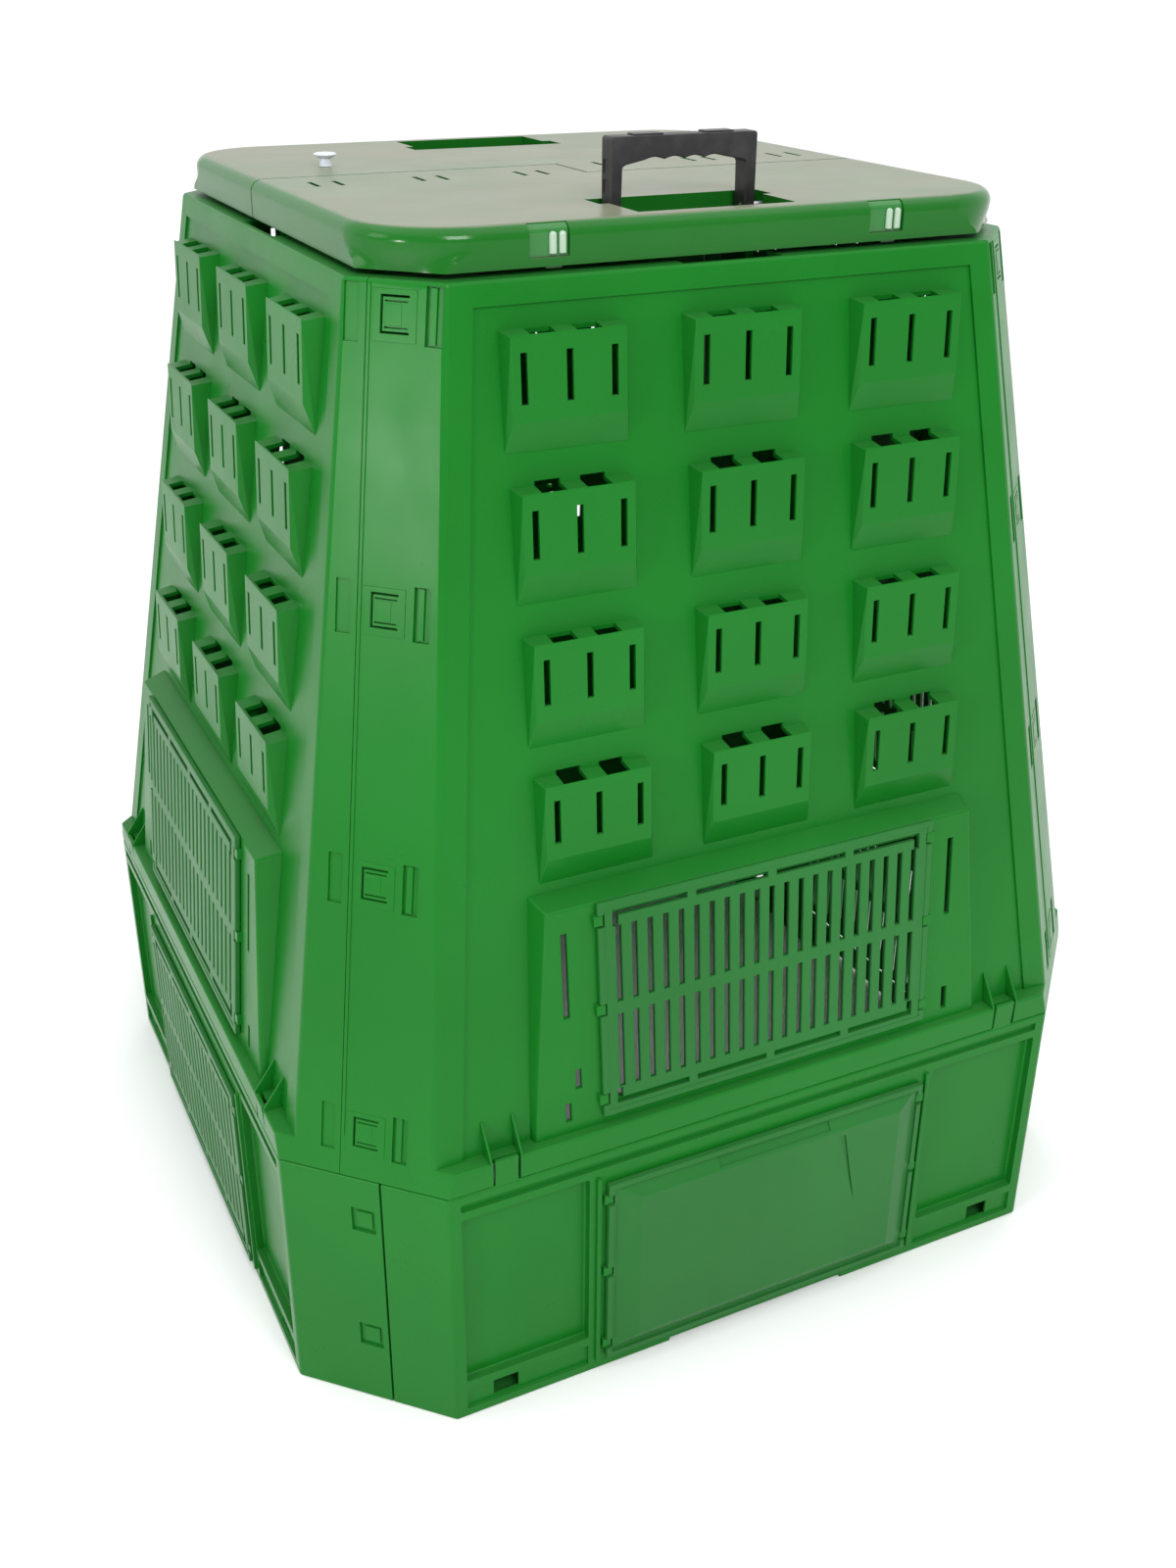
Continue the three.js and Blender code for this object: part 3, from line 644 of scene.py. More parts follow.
def field_cutter():
    """Sinks the wall's flat middle; it reaches well clear of the front face."""
    top, low = FIELD_TOP, LEDGE_Z + 0.2
    points = []
    for s in (-1, 1):
        points += [
            (s * FIELD_HALF_TOP, field_y(top), top), (s * (FIELD_HALF_TOP + 1), field_y(top) - 20, top + 1),
            (s * FIELD_HALF_LOW, field_y(low), low), (s * (FIELD_HALF_LOW + 1), -BASE_HALF - 20, low),
        ]
    return hull(points)


def wall_panel():
    panel = wall_shell()
    notch_back = -wall_half(WALL_TOP) + WALL_SKIN
    hinge_notch = box(
        -HINGE_NOTCH_HALF, HINGE_NOTCH_HALF, notch_back, -RIM_INNER_HALF + 10,
        WALL_TOP - RIM_THICK - 1, WALL_TOP + 1,
    )
    panel = cut(panel, [hinge_notch, field_cutter()])
    spots = [(x, top, row % 2 == 1) for row, top in enumerate(SCOOP_TOPS) for x in SCOOP_COLUMNS]
    raised = [scoop_body(x, top) for x, top, deep in spots]
    raised += clip_ribs(-CLIP_X) + clip_ribs(CLIP_X)
    raised += [snap_frame(z) for z in SNAP_HEIGHTS]
    raised.append(grille_box(0, 1.8))
    panel = joined(panel, raised)
    cuts = [grille_box(BOX_SKIN), clip_window(-CLIP_X), clip_window(CLIP_X)] + box_openings()
    for x, top, deep in spots:
        cuts.append(scoop_hollow(x, top))
        cuts += scoop_holes(x, top, deep) + scoop_slots(x, top)
    for z in SNAP_HEIGHTS:
        cuts += snap_cuts(z)
    panel = cut(panel, cuts)
    details = [piece for z in SNAP_HEIGHTS for piece in snap_details(z)] + wall_border()
    panel = joined(panel, details + wall_lugs())
    return common(panel, [front_sector(WALL_SEAM, WALL_SEAM_GAP, BASE_TOP - 5, WALL_TOP + 5)])


def lug_span(side):
    """The x range of a hook that stands in an insert's notch."""
    return sorted((side * (INSERT_HALF - NOTCH_WIDTH + LUG_CLEAR), side * (INSERT_HALF + 3)))


def wall_lugs():
    """Hooks of the wall that stand in the fixed grille's notches."""
    pieces = []
    for side in (-1, 1):
        for height in INSERT_NOTCHES:
            z = INSERT_LOW + height
            half = NOTCH_HALF - LUG_CLEAR
            x0, x1 = lug_span(side)
            points = [
                (x, box_y(v) + d, v) for x in (x0, x1) for v in (z - half, z + half)
                for d in (-INSERT_PLATE, 1)
            ]
            pieces.append(hull(points, 0.5, 2))
    return pieces


# ------------------------------------------------------------------ base panel


def base_lugs():
    pieces = []
    for side in (-1, 1):
        for height in INSERT_NOTCHES:
            z = HATCH_LOW + height
            half = NOTCH_HALF - LUG_CLEAR
            x0, x1 = lug_span(side)
            front, back = -BASE_HALF - INSERT_PLATE, -BASE_HALF + 1
            pieces.append(box(x0, x1, front, back, z - half, z + half, 0.6, 2))
    return pieces


def base_hook(x):
    """A hook that rises from the base through a window in the wall's flange."""
    points = []
    for v in (x - CLIP_HALF, x + CLIP_HALF):
        points += [
            (v, -BASE_HALF + 1, BASE_TOP - 9), (v, -BASE_HALF + 4.5, BASE_TOP - 9),
            (v, -BASE_HALF - 1, CLIP_HIGH), (v, -BASE_HALF + 3, CLIP_HIGH),
        ]
    return hull(points, 0.9, 3)


def base_panel():
    y = -BASE_HALF
    panel = frustum(base_half, 0, BASE_TOP, 0, 2.2)
    panel = cut(panel, [frustum(base_half, -1, BASE_TOP + 1, BASE_SKIN)])
    hollow = frustum(base_half, -1, FOOT_THICK + 1, FOOT_WIDTH)
    foot = cut(frustum(base_half, 0, FOOT_THICK, 2.5), [hollow])
    additions, cuts = [foot], []
    for side in (-1, 1):
        span = lambda ends: sorted(side * x for x in ends)
        x0, x1 = span(POCKET_X)
        z0, z1 = POCKET_Z
        wall, deep = POCKET_WALL, y + POCKET_DEPTH
        additions.append(box(x0 - wall, x1 + wall, y + 1, deep + wall, z0 - wall, z1 + wall))
        cuts.append(box(x0, x1, y - 20, deep, z0, z1, 2.0, 3))
        cuts.append(box(x0, x1, y - 20, y + LOW_POCKET_DEPTH, *LOW_POCKET_Z, 1.2, 2))
        cuts.append(box(*span(LIFT_HOLE_X), y - 1, y + FOOT_WIDTH + 1, *LIFT_HOLE_Z))
        additions.append(box(*span(BASE_RIB_X), y - BASE_RIB_RISE, y + 1, *BASE_RIB_Z, 0.9, 2))
        additions.append(base_hook(side * CLIP_X))
    half, low, high = HATCH_OPENING
    cuts.append(slot_cutter(-half, half, HATCH_LOW + low, HATCH_LOW + high, lambda z: y, 20, 0.6))
    half = BASE_GROOVE_HALF
    cuts.append(box(-half, half, y - 20, y + BASE_GROOVE_DEPTH, *BASE_GROOVE_Z, 0.9, 2))
    half = FOOT_NOTCH_HALF
    cuts.append(box(-half, half, y - 1, y + FOOT_WIDTH + 2, -1, FOOT_THICK + 1))
    panel = cut(joined(panel, additions), cuts)
    sector = front_sector(BASE_SEAM, BASE_SEAM_GAP, -1, CLIP_HIGH + 9)
    panel = common(panel, [sector])
    tabs, pads = [], []
    for z in BASE_TAB_HEIGHTS:
        top = z + BASE_TAB_SIZE
        tabs.append(right_corner_block(BASE_SEAM - 27, BASE_SEAM - 6, z, top, 3, 2.4))
        pads.append(right_corner_block(BASE_SEAM - 23, BASE_SEAM - 9, z + 4, top - 4, -0.9, 3, 0.5))
    return joined(cut(panel, tabs), pads + base_lugs())


# ------------------------------------------------------------------ inserts and doors


def insert_plate(proud):
    """Built flat: x across, z up from the lower edge, front towards -Y, back at y = 0."""
    half, height = INSERT_HALF, INSERT_HEIGHT
    plate = box(-half, half, -INSERT_PLATE - proud, 0, 0, height, 0.9, 3)
    rim = INSERT_RIM_WIDTH
    field = box(-half + rim, half - rim, -30, -INSERT_PLATE, rim, height - rim, 0.4, 2)
    notches = []
    for side in (-1, 1):
        for z in INSERT_NOTCHES:
            x0, x1 = sorted((side * (half - NOTCH_WIDTH), side * (half + 1)))
            notches.append(box(x0, x1, -20, 20, z - NOTCH_HALF, z + NOTCH_HALF))
    return cut(plate, [field] + notches)


def slotted_insert():
    face = lambda z: -INSERT_PLATE
    slots = []
    for i in range(GRILLE_COLUMNS):
        x = (i - (GRILLE_COLUMNS - 1) / 2) * GRILLE_PITCH
        for row in (0, 1):
            z = GRILLE_LOW + row * (GRILLE_ROW + GRILLE_RAIL)
            half = GRILLE_SLOT / 2
            slots.append(slot_cutter(x - half, x + half, z, z + GRILLE_ROW, face, 8, 0.7))
    start = -(VENT_COUNT * VENT_LENGTH + (VENT_COUNT - 1) * VENT_WEB) / 2
    high = INSERT_HEIGHT - VENT_MARGIN
    legs = []
    for i in range(VENT_COUNT):
        x = start + i * (VENT_LENGTH + VENT_WEB)
        for z0, z1 in ((VENT_MARGIN, VENT_MARGIN + VENT_HEIGHT), (high - VENT_HEIGHT, high)):
            slots.append(slot_cutter(x, x + VENT_LENGTH, z0, z1, face, 8, 0.4))
        if i in (0, VENT_COUNT - 1):
            end = x if i == 0 else x + VENT_LENGTH - VENT_HEIGHT
            for z0, z1 in ((VENT_MARGIN, VENT_MARGIN + VENT_LEG), (high - VENT_LEG, high)):
                legs.append(slot_cutter(end, end + VENT_HEIGHT, z0, z1, face, 8, 0.4))
    return cut(insert_plate(SLOTTED_RIM), slots + legs)


def door_field(inset, radius=0.0):
    """The door's bevelled middle, drawn in by inset."""
    def rectangle(size, y):
        x, low, high = size
        return [(s * (x - inset), y, z) for s in (-1, 1) for z in (low + inset, high - inset)]
    points = rectangle(DOOR_OUTER, -INSERT_PLATE + inset + 0.2)
    points += rectangle(DOOR_INNER, -INSERT_PLATE - DOOR_RAISE + inset)
    points += rectangle(DOOR_OUTER, 1 if inset else -1)
    return hull(points, radius, 3)


def hatch_door():
    """A solid hatch door with a finger groove along its upper bevel and a dart-shaped dent."""
    slope = DOOR_RAISE / (DOOR_OUTER[2] - DOOR_INNER[2])
    bevel = lambda z: -INSERT_PLATE - slope * (DOOR_OUTER[2] - z)
    groove = slot_cutter(*DOOR_GROOVE_X, *DOOR_GROOVE_Z, bevel, 2, 0.5)
    face = -INSERT_PLATE - DOOR_RAISE
    dart = hull([(x, y, z) for x, z in DOOR_DART for y in (face - 3, face + 1.6)])
    door = joined(insert_plate(DOOR_RIM), [door_field(0, 1.2)])
    return cut(door, [door_field(3), groove, dart])


# ------------------------------------------------------------------ lid


def lid_ring(z, half, rounding, steps=12):
    """One level of the lid's outline: rounding 0 cuts the corners straight, 1 makes them arcs."""
    points = []
    for quarter in range(4):
        turn = Matrix.Rotation(math.pi / 2 * quarter, 2)
        for i in range(steps + 1):
            angle = math.pi / 2 * i / steps
            radius = LID_CORNER_R - (LID_HALF - half)
            centre = half - radius
            arc = Vector((centre + radius * math.cos(angle), centre + radius * math.sin(angle)))
            along = LID_CORNER_CUT * i / steps
            chamfer = Vector((half - along, half - LID_CORNER_CUT + along))
            x, y = turn @ chamfer.lerp(arc, rounding)
            points.append((x, y, z))
    return points


def lid_body(inset):
    """The lid's outside as one body: cut corners below, round corners and top edge above."""
    half = LID_HALF - inset
    top = LID_TOP - inset
    edge = LID_EDGE - inset / 2
    low = LID_BOTTOM - (1 if inset else 0)
    rings = [lid_ring(low, half, 0)]
    for t in (0.25, 0.5, 0.75):
        rounding = 0.5 - 0.5 * math.cos(math.pi * t)
        rings.append(lid_ring(low + (top - edge - low) * t, half, rounding))
    steps = 8
    for i in range(steps + 1):
        angle = math.pi / 2 * i / steps
        inward = edge * (1 - math.cos(angle))
        rings.append(lid_ring(top - edge + edge * math.sin(angle), half - inward, 1))
    return loft(rings)


def tray_shape(skin, high):
    """A sunk tray for the carry handle, wider at its back where the handle's feet turn."""
    low, half, wide = TRAY_FLOOR - skin, TRAY_HALF + skin, TRAY_HALF_WIDE + skin
    return [
        box(-half, half, TRAY_FRONT - skin, TRAY_STEP + 1, low, high),
        box(-wide, wide, TRAY_STEP - skin, TRAY_BACK + skin, low, high),
    ]


def window_cuts(x):
    """The square window over a knuckle: two slits beside a flush tongue."""
    low, high = LID_TOP - LID_SKIN - 1, LID_TOP + 1
    return [box(x + x0, x + x1, *SLIT_Y, low, high) for x0, x1 in SLIT_X]


def lid_flap():
    reach = LID_HALF + 30
    g = SEAM_HALF_GAP
    outline = [
        (-reach, -reach), (reach, -reach), (reach, -SEAM_STEP - g),
        (-g, -SEAM_STEP - g), (-g, SEAM_STEP - g), (-reach, SEAM_STEP - g),
    ]
    flap = cut(lid_body(0), [lid_body(LID_SKIN)])
    flap = common(flap, [prism(outline, LID_BOTTOM - 2, LID_TOP + 2)])
    additions = tray_shape(TRAY_SKIN, LID_TOP - 1)
    cuts = tray_shape(0, LID_TOP + 1)
    for x in KNUCKLE_X:
        additions.append(rod_x(KNUCKLE_R, x - KNUCKLE_HALF, x + KNUCKLE_HALF, 0, HINGE_Z, 32))
        additions.append(box(x - KNUCKLE_HALF, x + KNUCKLE_HALF, -5, 5, HINGE_Z, LID_TOP - 1))
        cuts += window_cuts(x)
    cuts.append(rod_x(ROD_R + RUNNING, KNUCKLE_X[0] - 20, KNUCKLE_X[2] + 20, 0, HINGE_Z, 32))
    cuts.append(rod_x(PIN_R + RUNNING, -90, 90, HANDLE_Y, HANDLE_PIVOT_Z, 32))
    front, back = -LID_HALF - 1, -LID_HALF + LATCH_DEPTH
    for x in (-LATCH_X, LATCH_X):
        cuts.append(box(x + LATCH_LOW, x + LATCH_HIGH, front, back, LATCH_SILL, LID_TOP + 1))
    return cut(joined(flap, additions), cuts)


def lid_latch():
    """A snap latch that fills its window: a plate with two round barrels and a hook below."""
    face, low = -LID_HALF + LATCH_FACE, LATCH_SILL + LATCH_CLEAR
    back = -LID_HALF + LATCH_DEPTH - LATCH_CLEAR
    points = []
    for x in (LATCH_LOW + LATCH_CLEAR, LATCH_HIGH - LATCH_CLEAR):
        points += [
            (x, face, low), (x, face + 3, low), (x, face, LID_TOP - 7), (x, face + 0.5, LID_TOP - 5),
            (x, face + 1.8, LID_TOP - 3), (x, back, LID_TOP - 1.4), (x, back, LID_TOP - 4),
        ]
    plate = hull(points)
    half, behind = LATCH_HOOK_HALF, -LID_HALF + LID_SKIN + GAP
    hook = box(-half, half, behind, face + 3, LID_BOTTOM - 2, LATCH_SILL + 1)
    r, tall = BARREL_R, BARREL_HIGH - BARREL_LOW
    profile = [
        (r - 0.6, 0), (r, 0.5), (r, tall - 2.2),
        (0.87 * r, tall - 1), (0.5 * r, tall - 0.2), (0.2 * r, tall),
    ]
    barrels = [spun(profile, x, face, BARREL_LOW, 32) for x in BARREL_X]
    return joined(plate, [hook] + barrels)


# ------------------------------------------------------------------ handle and small pieces


def arc_points(cx, cz, radius, start, end, steps):
    angles = [math.radians(start + (end - start) * i / steps) for i in range(steps + 1)]
    return [(cx + radius * math.cos(a), cz + radius * math.sin(a)) for a in angles]


def carry_handle():
    """An upright bow with round feet, a scalloped grip below its bar and two pads on top."""
    half, top, y = HANDLE_HALF, HANDLE_TOP, HANDLE_Y
    corner, inner = HANDLE_CORNER, HANDLE_HALF - HANDLE_LEG
    foot, under = HANDLE_PIVOT_Z - HANDLE_DEPTH / 2 - 1, HANDLE_TOP - HANDLE_BAR
    outline = [(-half, foot)] + arc_points(-half + corner, top - corner, corner, 180, 90, 5)
    outline += arc_points(half - corner, top - corner, corner, 90, 0, 5)
    outline += [(half, foot), (inner + 1, foot)]
    outline += [(inner, under - 6), (inner - 0.6, under - 4.2), (inner - 3, under - 3)]
    steps = 8
    grip_half = FINGER_COUNT * FINGER_PITCH / 2
    outline.append((grip_half, under))
    for finger in range(FINGER_COUNT):
        for i in range(1, steps + 1):
            lift = FINGER_LIFT * math.sin(math.pi * i / steps)
            outline.append((grip_half - FINGER_PITCH * (finger + i / steps), under + lift))
    outline += [(-inner + 3, under - 3), (-inner + 0.6, under - 4.2), (-inner, under - 6)]
    outline.append((-inner - 1, foot))
    depth = HANDLE_DEPTH / 2
    grip = slab_y(outline, y - depth, y + depth, 1.0, 3)
    round_foot = joined(
        rod_x(depth, -half - 1, half + 1, y, HANDLE_PIVOT_Z, 64),
        [box(-half - 1, half + 1, y - depth - 1, y + depth + 1, HANDLE_PIVOT_Z, top + 5)],
    )
    grip = common(grip, [round_foot])
    long, wide, rise = PAD_SIZE
    pads = [box(x - long, x + long, y - wide, y + wide, top - 1, top + rise, 0.4, 2) for x in PAD_X]
    bore = rod_x(PIN_R + RUNNING, -half - 1, half + 1, y, HANDLE_PIVOT_Z, 32)
    deep, wide, tall = DIMPLE_SIZE
    dimples = []
    for side in (-1, 1):
        for z in DIMPLE_HEIGHTS:
            x0, x1 = sorted((side * (half - deep), side * (half + 2)))
            dimples.append(box(x0, x1, y - wide, y + wide, z, z + tall, 0.6, 2))
    return cut(joined(grip, pads), [bore] + dimples)


def handle_pin(side):
    near, far = HANDLE_HALF - HANDLE_LEG + 1, TRAY_HALF_WIDE + TRAY_SKIN + 1
    x0, x1 = sorted((side * near, side * far))
    return rod_x(PIN_R, x0, x1, HANDLE_Y, HANDLE_PIVOT_Z, 48, 0.6)


def rod_bracket():
    """A post with a round seat for the rod's end, on an arm that is fixed to the wall's inside."""
    inner, outer = BRACKET_POST
    low, high = BRACKET_Z
    half, wide = BRACKET_HALF, BRACKET_FOOT_HALF
    post = box(inner, outer, -half, half, low, HINGE_Z, 0.4, 2)
    arm = box(outer - 1, WALL_HALF_LOW, -half, half, low, high)
    foot = box(WALL_HALF_TOP - 12, WALL_HALF_LOW, -wide, wide, low, high)
    inside = frustum(wall_half, low - 1, HINGE_Z + 9, WALL_SKIN + GAP)
    seat = rod_x(ROD_R + RUNNING, inner - 1, outer + 1, 0, HINGE_Z, 32)
    return cut(joined(common(joined(arm, [foot]), [inside]), [post]), [seat])


def lid_peg():
    """A short stem below a round head, as (radius, height) points."""
    stem = [(5.5, 0), (5, 1), (4.9, 6)]
    head = [(8.4, 7.9), (9.3, 8.5), (9.6, 9.2), (9.3, 9.9), (8.4, 10.4), (5, 10.5)]
    return spun(stem + head, 0, 0, 0, 48)


# ------------------------------------------------------------------ materials

# Painted highlight: a pale colour for what stands proud of the latch face, standing in for the light the
# barrels catch.
PAINTED_HIGHLIGHT = (0.5, 0.62, 0.5)
PAINTED_HIGHLIGHT_FADE = 0.0012
PAINTED_HIGHLIGHT_SHARE = 0.7


class Nodes:
    """A short way to write a material's nodes."""

    def __init__(self, name):
        self.material = bpy.data.materials.new(name)
        self.material.use_nodes = True
        self.tree = self.material.node_tree
        self.shader = self.tree.nodes["Principled BSDF"]
        self.place = self.add("ShaderNodeTexCoord").outputs["Object"]

    def add(self, kind, **inputs):
        node = self.tree.nodes.new(kind)
        for key, value in inputs.items():
            self.put(node, key.replace("_", " "), value)
        return node

    def put(self, node, key, value):
        socket = node.inputs[key]
        if isinstance(value, bpy.types.NodeSocket):
            self.tree.links.new(value, socket)
        else:
            socket.default_value = value

    def upward(self):
        """The object's own normal along Z."""
        normal = self.add("ShaderNodeTexCoord").outputs["Normal"]
        return self.add("ShaderNodeSeparateXYZ", Vector=normal).outputs["Z"]

    def outward(self):
        """The distance from the bin's middle plane along Y."""
        along = self.add("ShaderNodeSeparateXYZ", Vector=self.place).outputs["Y"]
        return self.math("ABSOLUTE", along, 0.0)

    def stretched(self, scale):
        return self.add("ShaderNodeMapping", Vector=self.place, Scale=scale).outputs["Vector"]

    def noise(self, scale, detail=3.0, roughness=0.55, stretch=None, distortion=0.0):
        node = self.add("ShaderNodeTexNoise", Scale=scale, Detail=detail, Roughness=roughness)
        self.put(node, "Distortion", distortion)
        self.put(node, "Vector", self.stretched(stretch) if stretch else self.place)
        return node.outputs["Fac"]

    def ramp(self, value, low, high, out_low=0.0, out_high=1.0):
        node = self.add("ShaderNodeMapRange", Value=value)
        limits = {"From Min": low, "From Max": high, "To Min": out_low, "To Max": out_high}
        for key, number in limits.items():
            node.inputs[key].default_value = number
        return node.outputs["Result"]

    def mix(self, factor, first, second, blend="MIX"):
        node = self.add("ShaderNodeMix")
        node.data_type = "RGBA"
        node.blend_type = blend
        self.put(node, "Factor", factor)
        for index, value in ((6, first), (7, second)):
            if isinstance(value, bpy.types.NodeSocket):
                self.tree.links.new(value, node.inputs[index])
            else:
                node.inputs[index].default_value = (*value, 1)
        return node.outputs[2]

    def math(self, operation, first, second):
        node = self.add("ShaderNodeMath")
        node.operation = operation
        for index, value in enumerate((first, second)):
            if isinstance(value, bpy.types.NodeSocket):
                self.tree.links.new(value, node.inputs[index])
            else:
                node.inputs[index].default_value = value
        return node.outputs[0]

    def bump(self, height, strength, distance, under=None):
        node = self.add("ShaderNodeBump", Height=height, Strength=strength, Distance=distance)
        if under is not None:
            self.put(node, "Normal", under)
        return node.outputs["Normal"]


def moulded_plastic(name, deep, bright, dust_and_highlight, sides, top, gloss, shine, highlight_beyond=None):
    """Moulded plastic with slow colour drift, flow streaks and fine grain.

    Dust covers a share of the sides and another of whatever looks straight up; on the latch this
    mix is a painted highlight instead. Whatever stands further out along Y than the given distance,
    in metres, gets a painted pale highlight.
    """
    n = Nodes(name)
    drift = n.ramp(n.noise(3.2, 3), 0.25, 0.75)
    streaks = n.ramp(n.noise(9, 4, 0.6, (1, 1, 0.16)), 0.4, 0.8)
    colour = n.mix(drift, deep, bright)
    colour = n.mix(n.math("MULTIPLY", streaks, 0.2), colour, [c * 1.25 for c in bright])
    upward = n.ramp(n.upward(), 0.9, 0.995)
    patches = n.ramp(n.noise(4, 6, 0.65, (0.6, 1.6, 1), 0.8), 0.3, 0.75, 0.45, 1.0)
    amount = n.math("ADD", sides, n.math("MULTIPLY", upward, top - sides))
    # On the latch this mix is a painted highlight on faces that look up; on the other materials it is dust.
    dust_and_highlight_mask = n.math("MULTIPLY", patches, amount)
    colour = n.mix(dust_and_highlight_mask, colour, dust_and_highlight)
    # Painted highlight: what stands out along Y past the given distance is mixed towards a pale colour.
    if highlight_beyond:
        painted_highlight = n.ramp(n.outward(), highlight_beyond, highlight_beyond + PAINTED_HIGHLIGHT_FADE, 0.0, PAINTED_HIGHLIGHT_SHARE)
        colour = n.mix(painted_highlight, colour, PAINTED_HIGHLIGHT)
    n.put(n.shader, "Base Color", colour)
    sheen = n.ramp(n.noise(14, 4), 0.3, 0.7, *gloss)
    n.put(n.shader, "Roughness", n.math("ADD", sheen, n.math("MULTIPLY", dust_and_highlight_mask, 0.3)))
    n.shader.inputs["Specular IOR Level"].default_value = shine
    waves = n.bump(n.noise(7, 2), 0.05, 0.004)
    n.put(n.shader, "Normal", n.bump(n.noise(1300, 2, 0.6), 0.14, 0.00012, waves))
    return n.material


def satin_black():
    n = Nodes("black_plastic_satin")
    wear = n.ramp(n.noise(60, 4), 0.45, 0.75)
    n.put(n.shader, "Base Color", n.mix(wear, (0.012, 0.011, 0.012), (0.034, 0.031, 0.032)))
    n.put(n.shader, "Roughness", n.ramp(n.noise(30, 3), 0.3, 0.7, 0.34, 0.5))
    n.put(n.shader, "Normal", n.bump(n.noise(900, 2), 0.3, 0.00015))
    return n.material


def glossy_white():
    n = Nodes("white_plastic_gloss")
    n.put(n.shader, "Base Color", n.mix(n.noise(90, 3), (0.74, 0.77, 0.82), (0.6, 0.66, 0.76)))
    n.put(n.shader, "Roughness", n.ramp(n.noise(120, 2), 0.3, 0.7, 0.22, 0.36))
    n.put(n.shader, "Normal", n.bump(n.noise(700, 2), 0.1, 0.0001))
    return n.material


def plain_steel():
    n = Nodes("steel_rod")
    lines = n.noise(500, 3, 0.6, (0.03, 1, 1))
    n.put(n.shader, "Base Color", n.mix(lines, (0.42, 0.42, 0.43), (0.6, 0.6, 0.61)))
    n.put(n.shader, "Roughness", n.ramp(lines, 0.3, 0.7, 0.26, 0.42))
    n.shader.inputs["Metallic"].default_value = 1.0
    n.put(n.shader, "Normal", n.bump(lines, 0.1, 0.00005))
    return n.material


# ------------------------------------------------------------------ build

body_green = moulded_plastic(
    "green_plastic_moulded", deep=(0.003, 0.13, 0.008), bright=(0.005, 0.165, 0.012),
    dust_and_highlight=(0.1, 0.2, 0.1), sides=0.03, top=0.2, gloss=(0.26, 0.34), shine=0.17,
)
insert_green = moulded_plastic(
    "green_plastic_insert", deep=(0.004, 0.115, 0.01), bright=(0.006, 0.15, 0.016),
    dust_and_highlight=(0.14, 0.2, 0.14), sides=0.12, top=0.2, gloss=(0.3, 0.38), shine=0.17,
)
lid_green = moulded_plastic(
    "green_plastic_lid", deep=(0.003, 0.105, 0.006), bright=(0.005, 0.135, 0.009),
    dust_and_highlight=(0.34, 0.29, 0.24), sides=0.02, top=0.75, gloss=(0.14, 0.2), shine=0.28,
)
# The latch's pale, greenish dust mix on its tops is a painted highlight, not dust.
latch_green = moulded_plastic(
    "green_plastic_latch", deep=(0.004, 0.13, 0.01), bright=(0.008, 0.17, 0.016),
    dust_and_highlight=(0.4, 0.5, 0.4), sides=0.05, top=0.5, gloss=(0.08, 0.14), shine=0.6,
    # Painted pale highlight on the barrels, past the latch face.
    highlight_beyond=(LID_HALF - LATCH_FACE) * MM + 0.0002,
)
black = satin_black()
white = glossy_white()
steel = plain_steel()

wall_shape = wall_panel()
base_shape = base_panel()
slotted_shape = slotted_insert()
door_shape = hatch_door()

for side, degrees in TURN.items():
    green = ("green_plastic", body_green, degrees)
    finished(again(wall_shape), f"wall_{side}", f"wall_panel_{side}", "bin", *green)
    finished(again(base_shape), f"base_{side}", f"base_panel_{side}", "bin", *green)
    vent = again(slotted_shape)
    finished(
        vent, f"vent_{side}", f"vent_grille_{side}", "bin", "green_plastic", insert_green, degrees,
        (0, box_y(INSERT_LOW) - GAP - 0.1, INSERT_LOW), -math.atan(BOX_LEAN),
    )
    is_door = side in ("front", "back")
    hatch = again(door_shape if is_door else slotted_shape)
    node = f"hatch_door_{side}" if is_door else f"hatch_grille_{side}"
    finished(
        hatch, f"hatch_{side}", node, f"hatch_{side}", "green_plastic", insert_green, degrees,
        (0, -BASE_HALF - GAP, HATCH_LOW),
    )

flap_shape = lid_flap()
latch_shape = lid_latch()
for side in ("front", "back"):
    degrees, body = TURN[side], f"{side}_flap"
    flap = again(flap_shape)
    finished(flap, f"flap_{side}", f"lid_flap_{side}", body, "lid_plastic", lid_green, degrees)
    for hand, x in (("left", -LATCH_X), ("right", LATCH_X)):
        finished(
            again(latch_shape), f"latch_{side}_{hand}", f"lid_latch_{side}_{hand}", body,
            "lid_plastic", latch_green, degrees, (x, 0, 0),
        )

rod = rod_x(ROD_R, -ROD_HALF, ROD_HALF, 0, HINGE_Z, 48, 0.6)
finished(rod, "rod", "lid_hinge_rod", "bin", "steel", steel)
bracket_shape = rod_bracket()
for side, degrees in (("right", 0), ("left", 180)):
    bracket, green = again(bracket_shape), ("green_plastic", body_green, degrees)
    finished(bracket, f"bracket_{side}", f"rod_bracket_{side}", "bin", *green)
finished(carry_handle(), "handle_grip", "carry_handle", "handle", "black_plastic", black)
finished(handle_pin(-1), "pin_left", "handle_pin_left", "front_flap", "steel", steel)
finished(handle_pin(1), "pin_right", "handle_pin_right", "front_flap", "steel", steel)
peg_place = (PEG_X, PEG_Y, LID_TOP + GAP)
finished(lid_peg(), "peg", "lid_peg", "back_flap", "white_plastic", white, 0, peg_place)

templates = [wall_shape, base_shape, slotted_shape, door_shape]
templates += [flap_shape, latch_shape, bracket_shape]
for shape in templates:
    bpy.data.objects.remove(shape)
bpy.data.collections.remove(workshop)

# ------------------------------------------------------------------ floor, light, camera


FLOOR_REACH = 50.0
FLOOR_WHITE = 0.93
SKY_TOWARDS = (0.5, 0.85, 0.35)
SKY_FADE = {"From Min": -0.4, "From Max": 0.3, "To Min": 0.36, "To Max": 1.0}
SKY_COLOUR = (0.98, 0.99, 1.0)


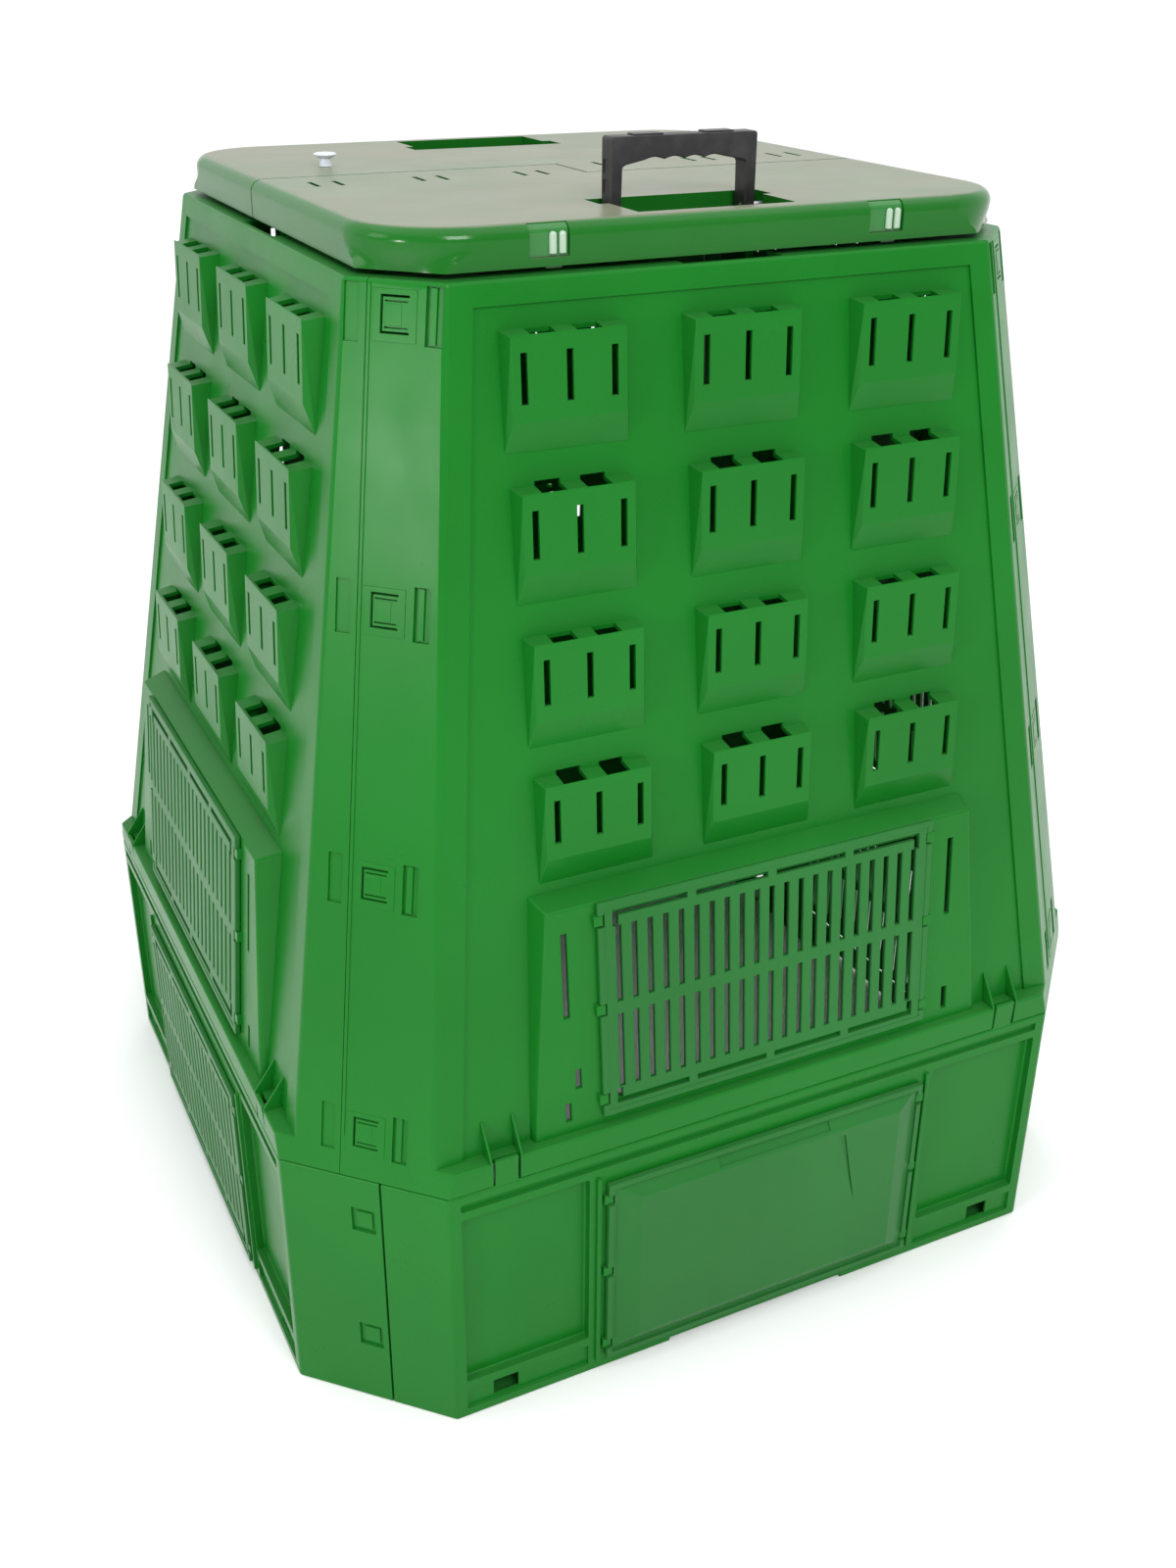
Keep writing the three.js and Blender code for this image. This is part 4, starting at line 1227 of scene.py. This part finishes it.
def stage_floor():
    mesh = bpy.data.meshes.new("floor")
    turns = ((-1, -1), (1, -1), (1, 1), (-1, 1))
    corners = [(FLOOR_REACH * x, FLOOR_REACH * y, 0) for x, y in turns]
    mesh.from_pydata(corners, [], [(0, 1, 2, 3)])
    floor = bpy.data.objects.new("floor", mesh)
    bpy.context.scene.collection.objects.link(floor)
    material = bpy.data.materials.new("pale_floor")
    material.use_nodes = True
    shader = material.node_tree.nodes["Principled BSDF"]
    shader.inputs["Base Color"].default_value = (FLOOR_WHITE, FLOOR_WHITE, FLOOR_WHITE, 1)
    shader.inputs["Roughness"].default_value = 0.9
    mesh.materials.append(material)


def area_light(name, place, target, size, power):
    data = bpy.data.lights.new(name, "AREA")
    data.shape = "RECTANGLE"
    data.size, data.size_y = size
    data.energy = power
    light = bpy.data.objects.new(name, data)
    light.location = place
    light.rotation_mode = "QUATERNION"
    light.rotation_quaternion = (Vector(target) - Vector(place)).to_track_quat("-Z", "Y")
    bpy.context.scene.collection.objects.link(light)


def overhead_light():
    """A very soft light from above, which also keeps the far floor pale."""
    data = bpy.data.lights.new("overhead", "SUN")
    data.energy = 1.0
    data.angle = math.radians(90)
    light = bpy.data.objects.new("overhead", data)
    light.location = (0, 0, 3)
    bpy.context.scene.collection.objects.link(light)


def camera(place, azimuth, elevation, roll, focal):
    """Azimuth 0 looks along +Y; the angles are in degrees."""
    data = bpy.data.cameras.new("camera")
    data.lens = focal
    data.sensor_width = 36
    data.clip_start, data.clip_end = 0.05, 60
    data.dof.use_dof = False
    eye = bpy.data.objects.new("camera", data)
    a, e, r = (math.radians(v) for v in (azimuth, elevation, roll))
    back = Vector((math.sin(a) * math.cos(e), -math.cos(a) * math.cos(e), math.sin(e)))
    right = (-back).cross(Vector((0, 0, 1))).normalized()
    up = right.cross(-back)
    tilted_right = right * math.cos(r) + up * math.sin(r)
    tilted_up = up * math.cos(r) - right * math.sin(r)
    eye.matrix_world = Matrix((
        (tilted_right.x, tilted_up.x, back.x, place[0]),
        (tilted_right.y, tilted_up.y, back.y, place[1]),
        (tilted_right.z, tilted_up.z, back.z, place[2]),
        (0, 0, 0, 1),
    ))
    bpy.context.scene.collection.objects.link(eye)
    bpy.context.scene.camera = eye


def soft_room():
    """A pale world, brightest behind and above the bin and dimmer behind the camera."""
    world = bpy.data.worlds.new("soft_room")
    bpy.context.scene.world = world
    world.use_nodes = True
    sky = world.node_tree
    direction = sky.nodes.new("ShaderNodeTexCoord").outputs["Generated"]
    ahead = sky.nodes.new("ShaderNodeVectorMath")
    ahead.operation = "DOT_PRODUCT"
    ahead.inputs[1].default_value = SKY_TOWARDS
    sky.links.new(direction, ahead.inputs[0])
    fade = sky.nodes.new("ShaderNodeMapRange")
    for key, value in SKY_FADE.items():
        fade.inputs[key].default_value = value
    sky.links.new(ahead.outputs["Value"], fade.inputs["Value"])
    sky.links.new(fade.outputs["Result"], sky.nodes["Background"].inputs["Strength"])
    sky.nodes["Background"].inputs["Color"].default_value = (*SKY_COLOUR, 1)


stage_floor()
soft_room()
bpy.context.scene.view_settings.view_transform = "Standard"
area_light("key", place=(-0.3, -2.7, 2.6), target=(0, 0, 0.45), size=(1.2, 1.2), power=58)
area_light("left", place=(-3.0, 0.2, 2.2), target=(0, 0, 0.5), size=(1.2, 1.2), power=11)
area_light(
    "corner_glare", place=(-2.3, -1.1, 1.0), target=(-0.3, -0.28, 0.78), size=(0.3, 0.4), power=14
)
overhead_light()
camera(place=(-0.637, -1.334, 1.113), azimuth=-26.24, elevation=27.14, roll=0.44, focal=37.66)
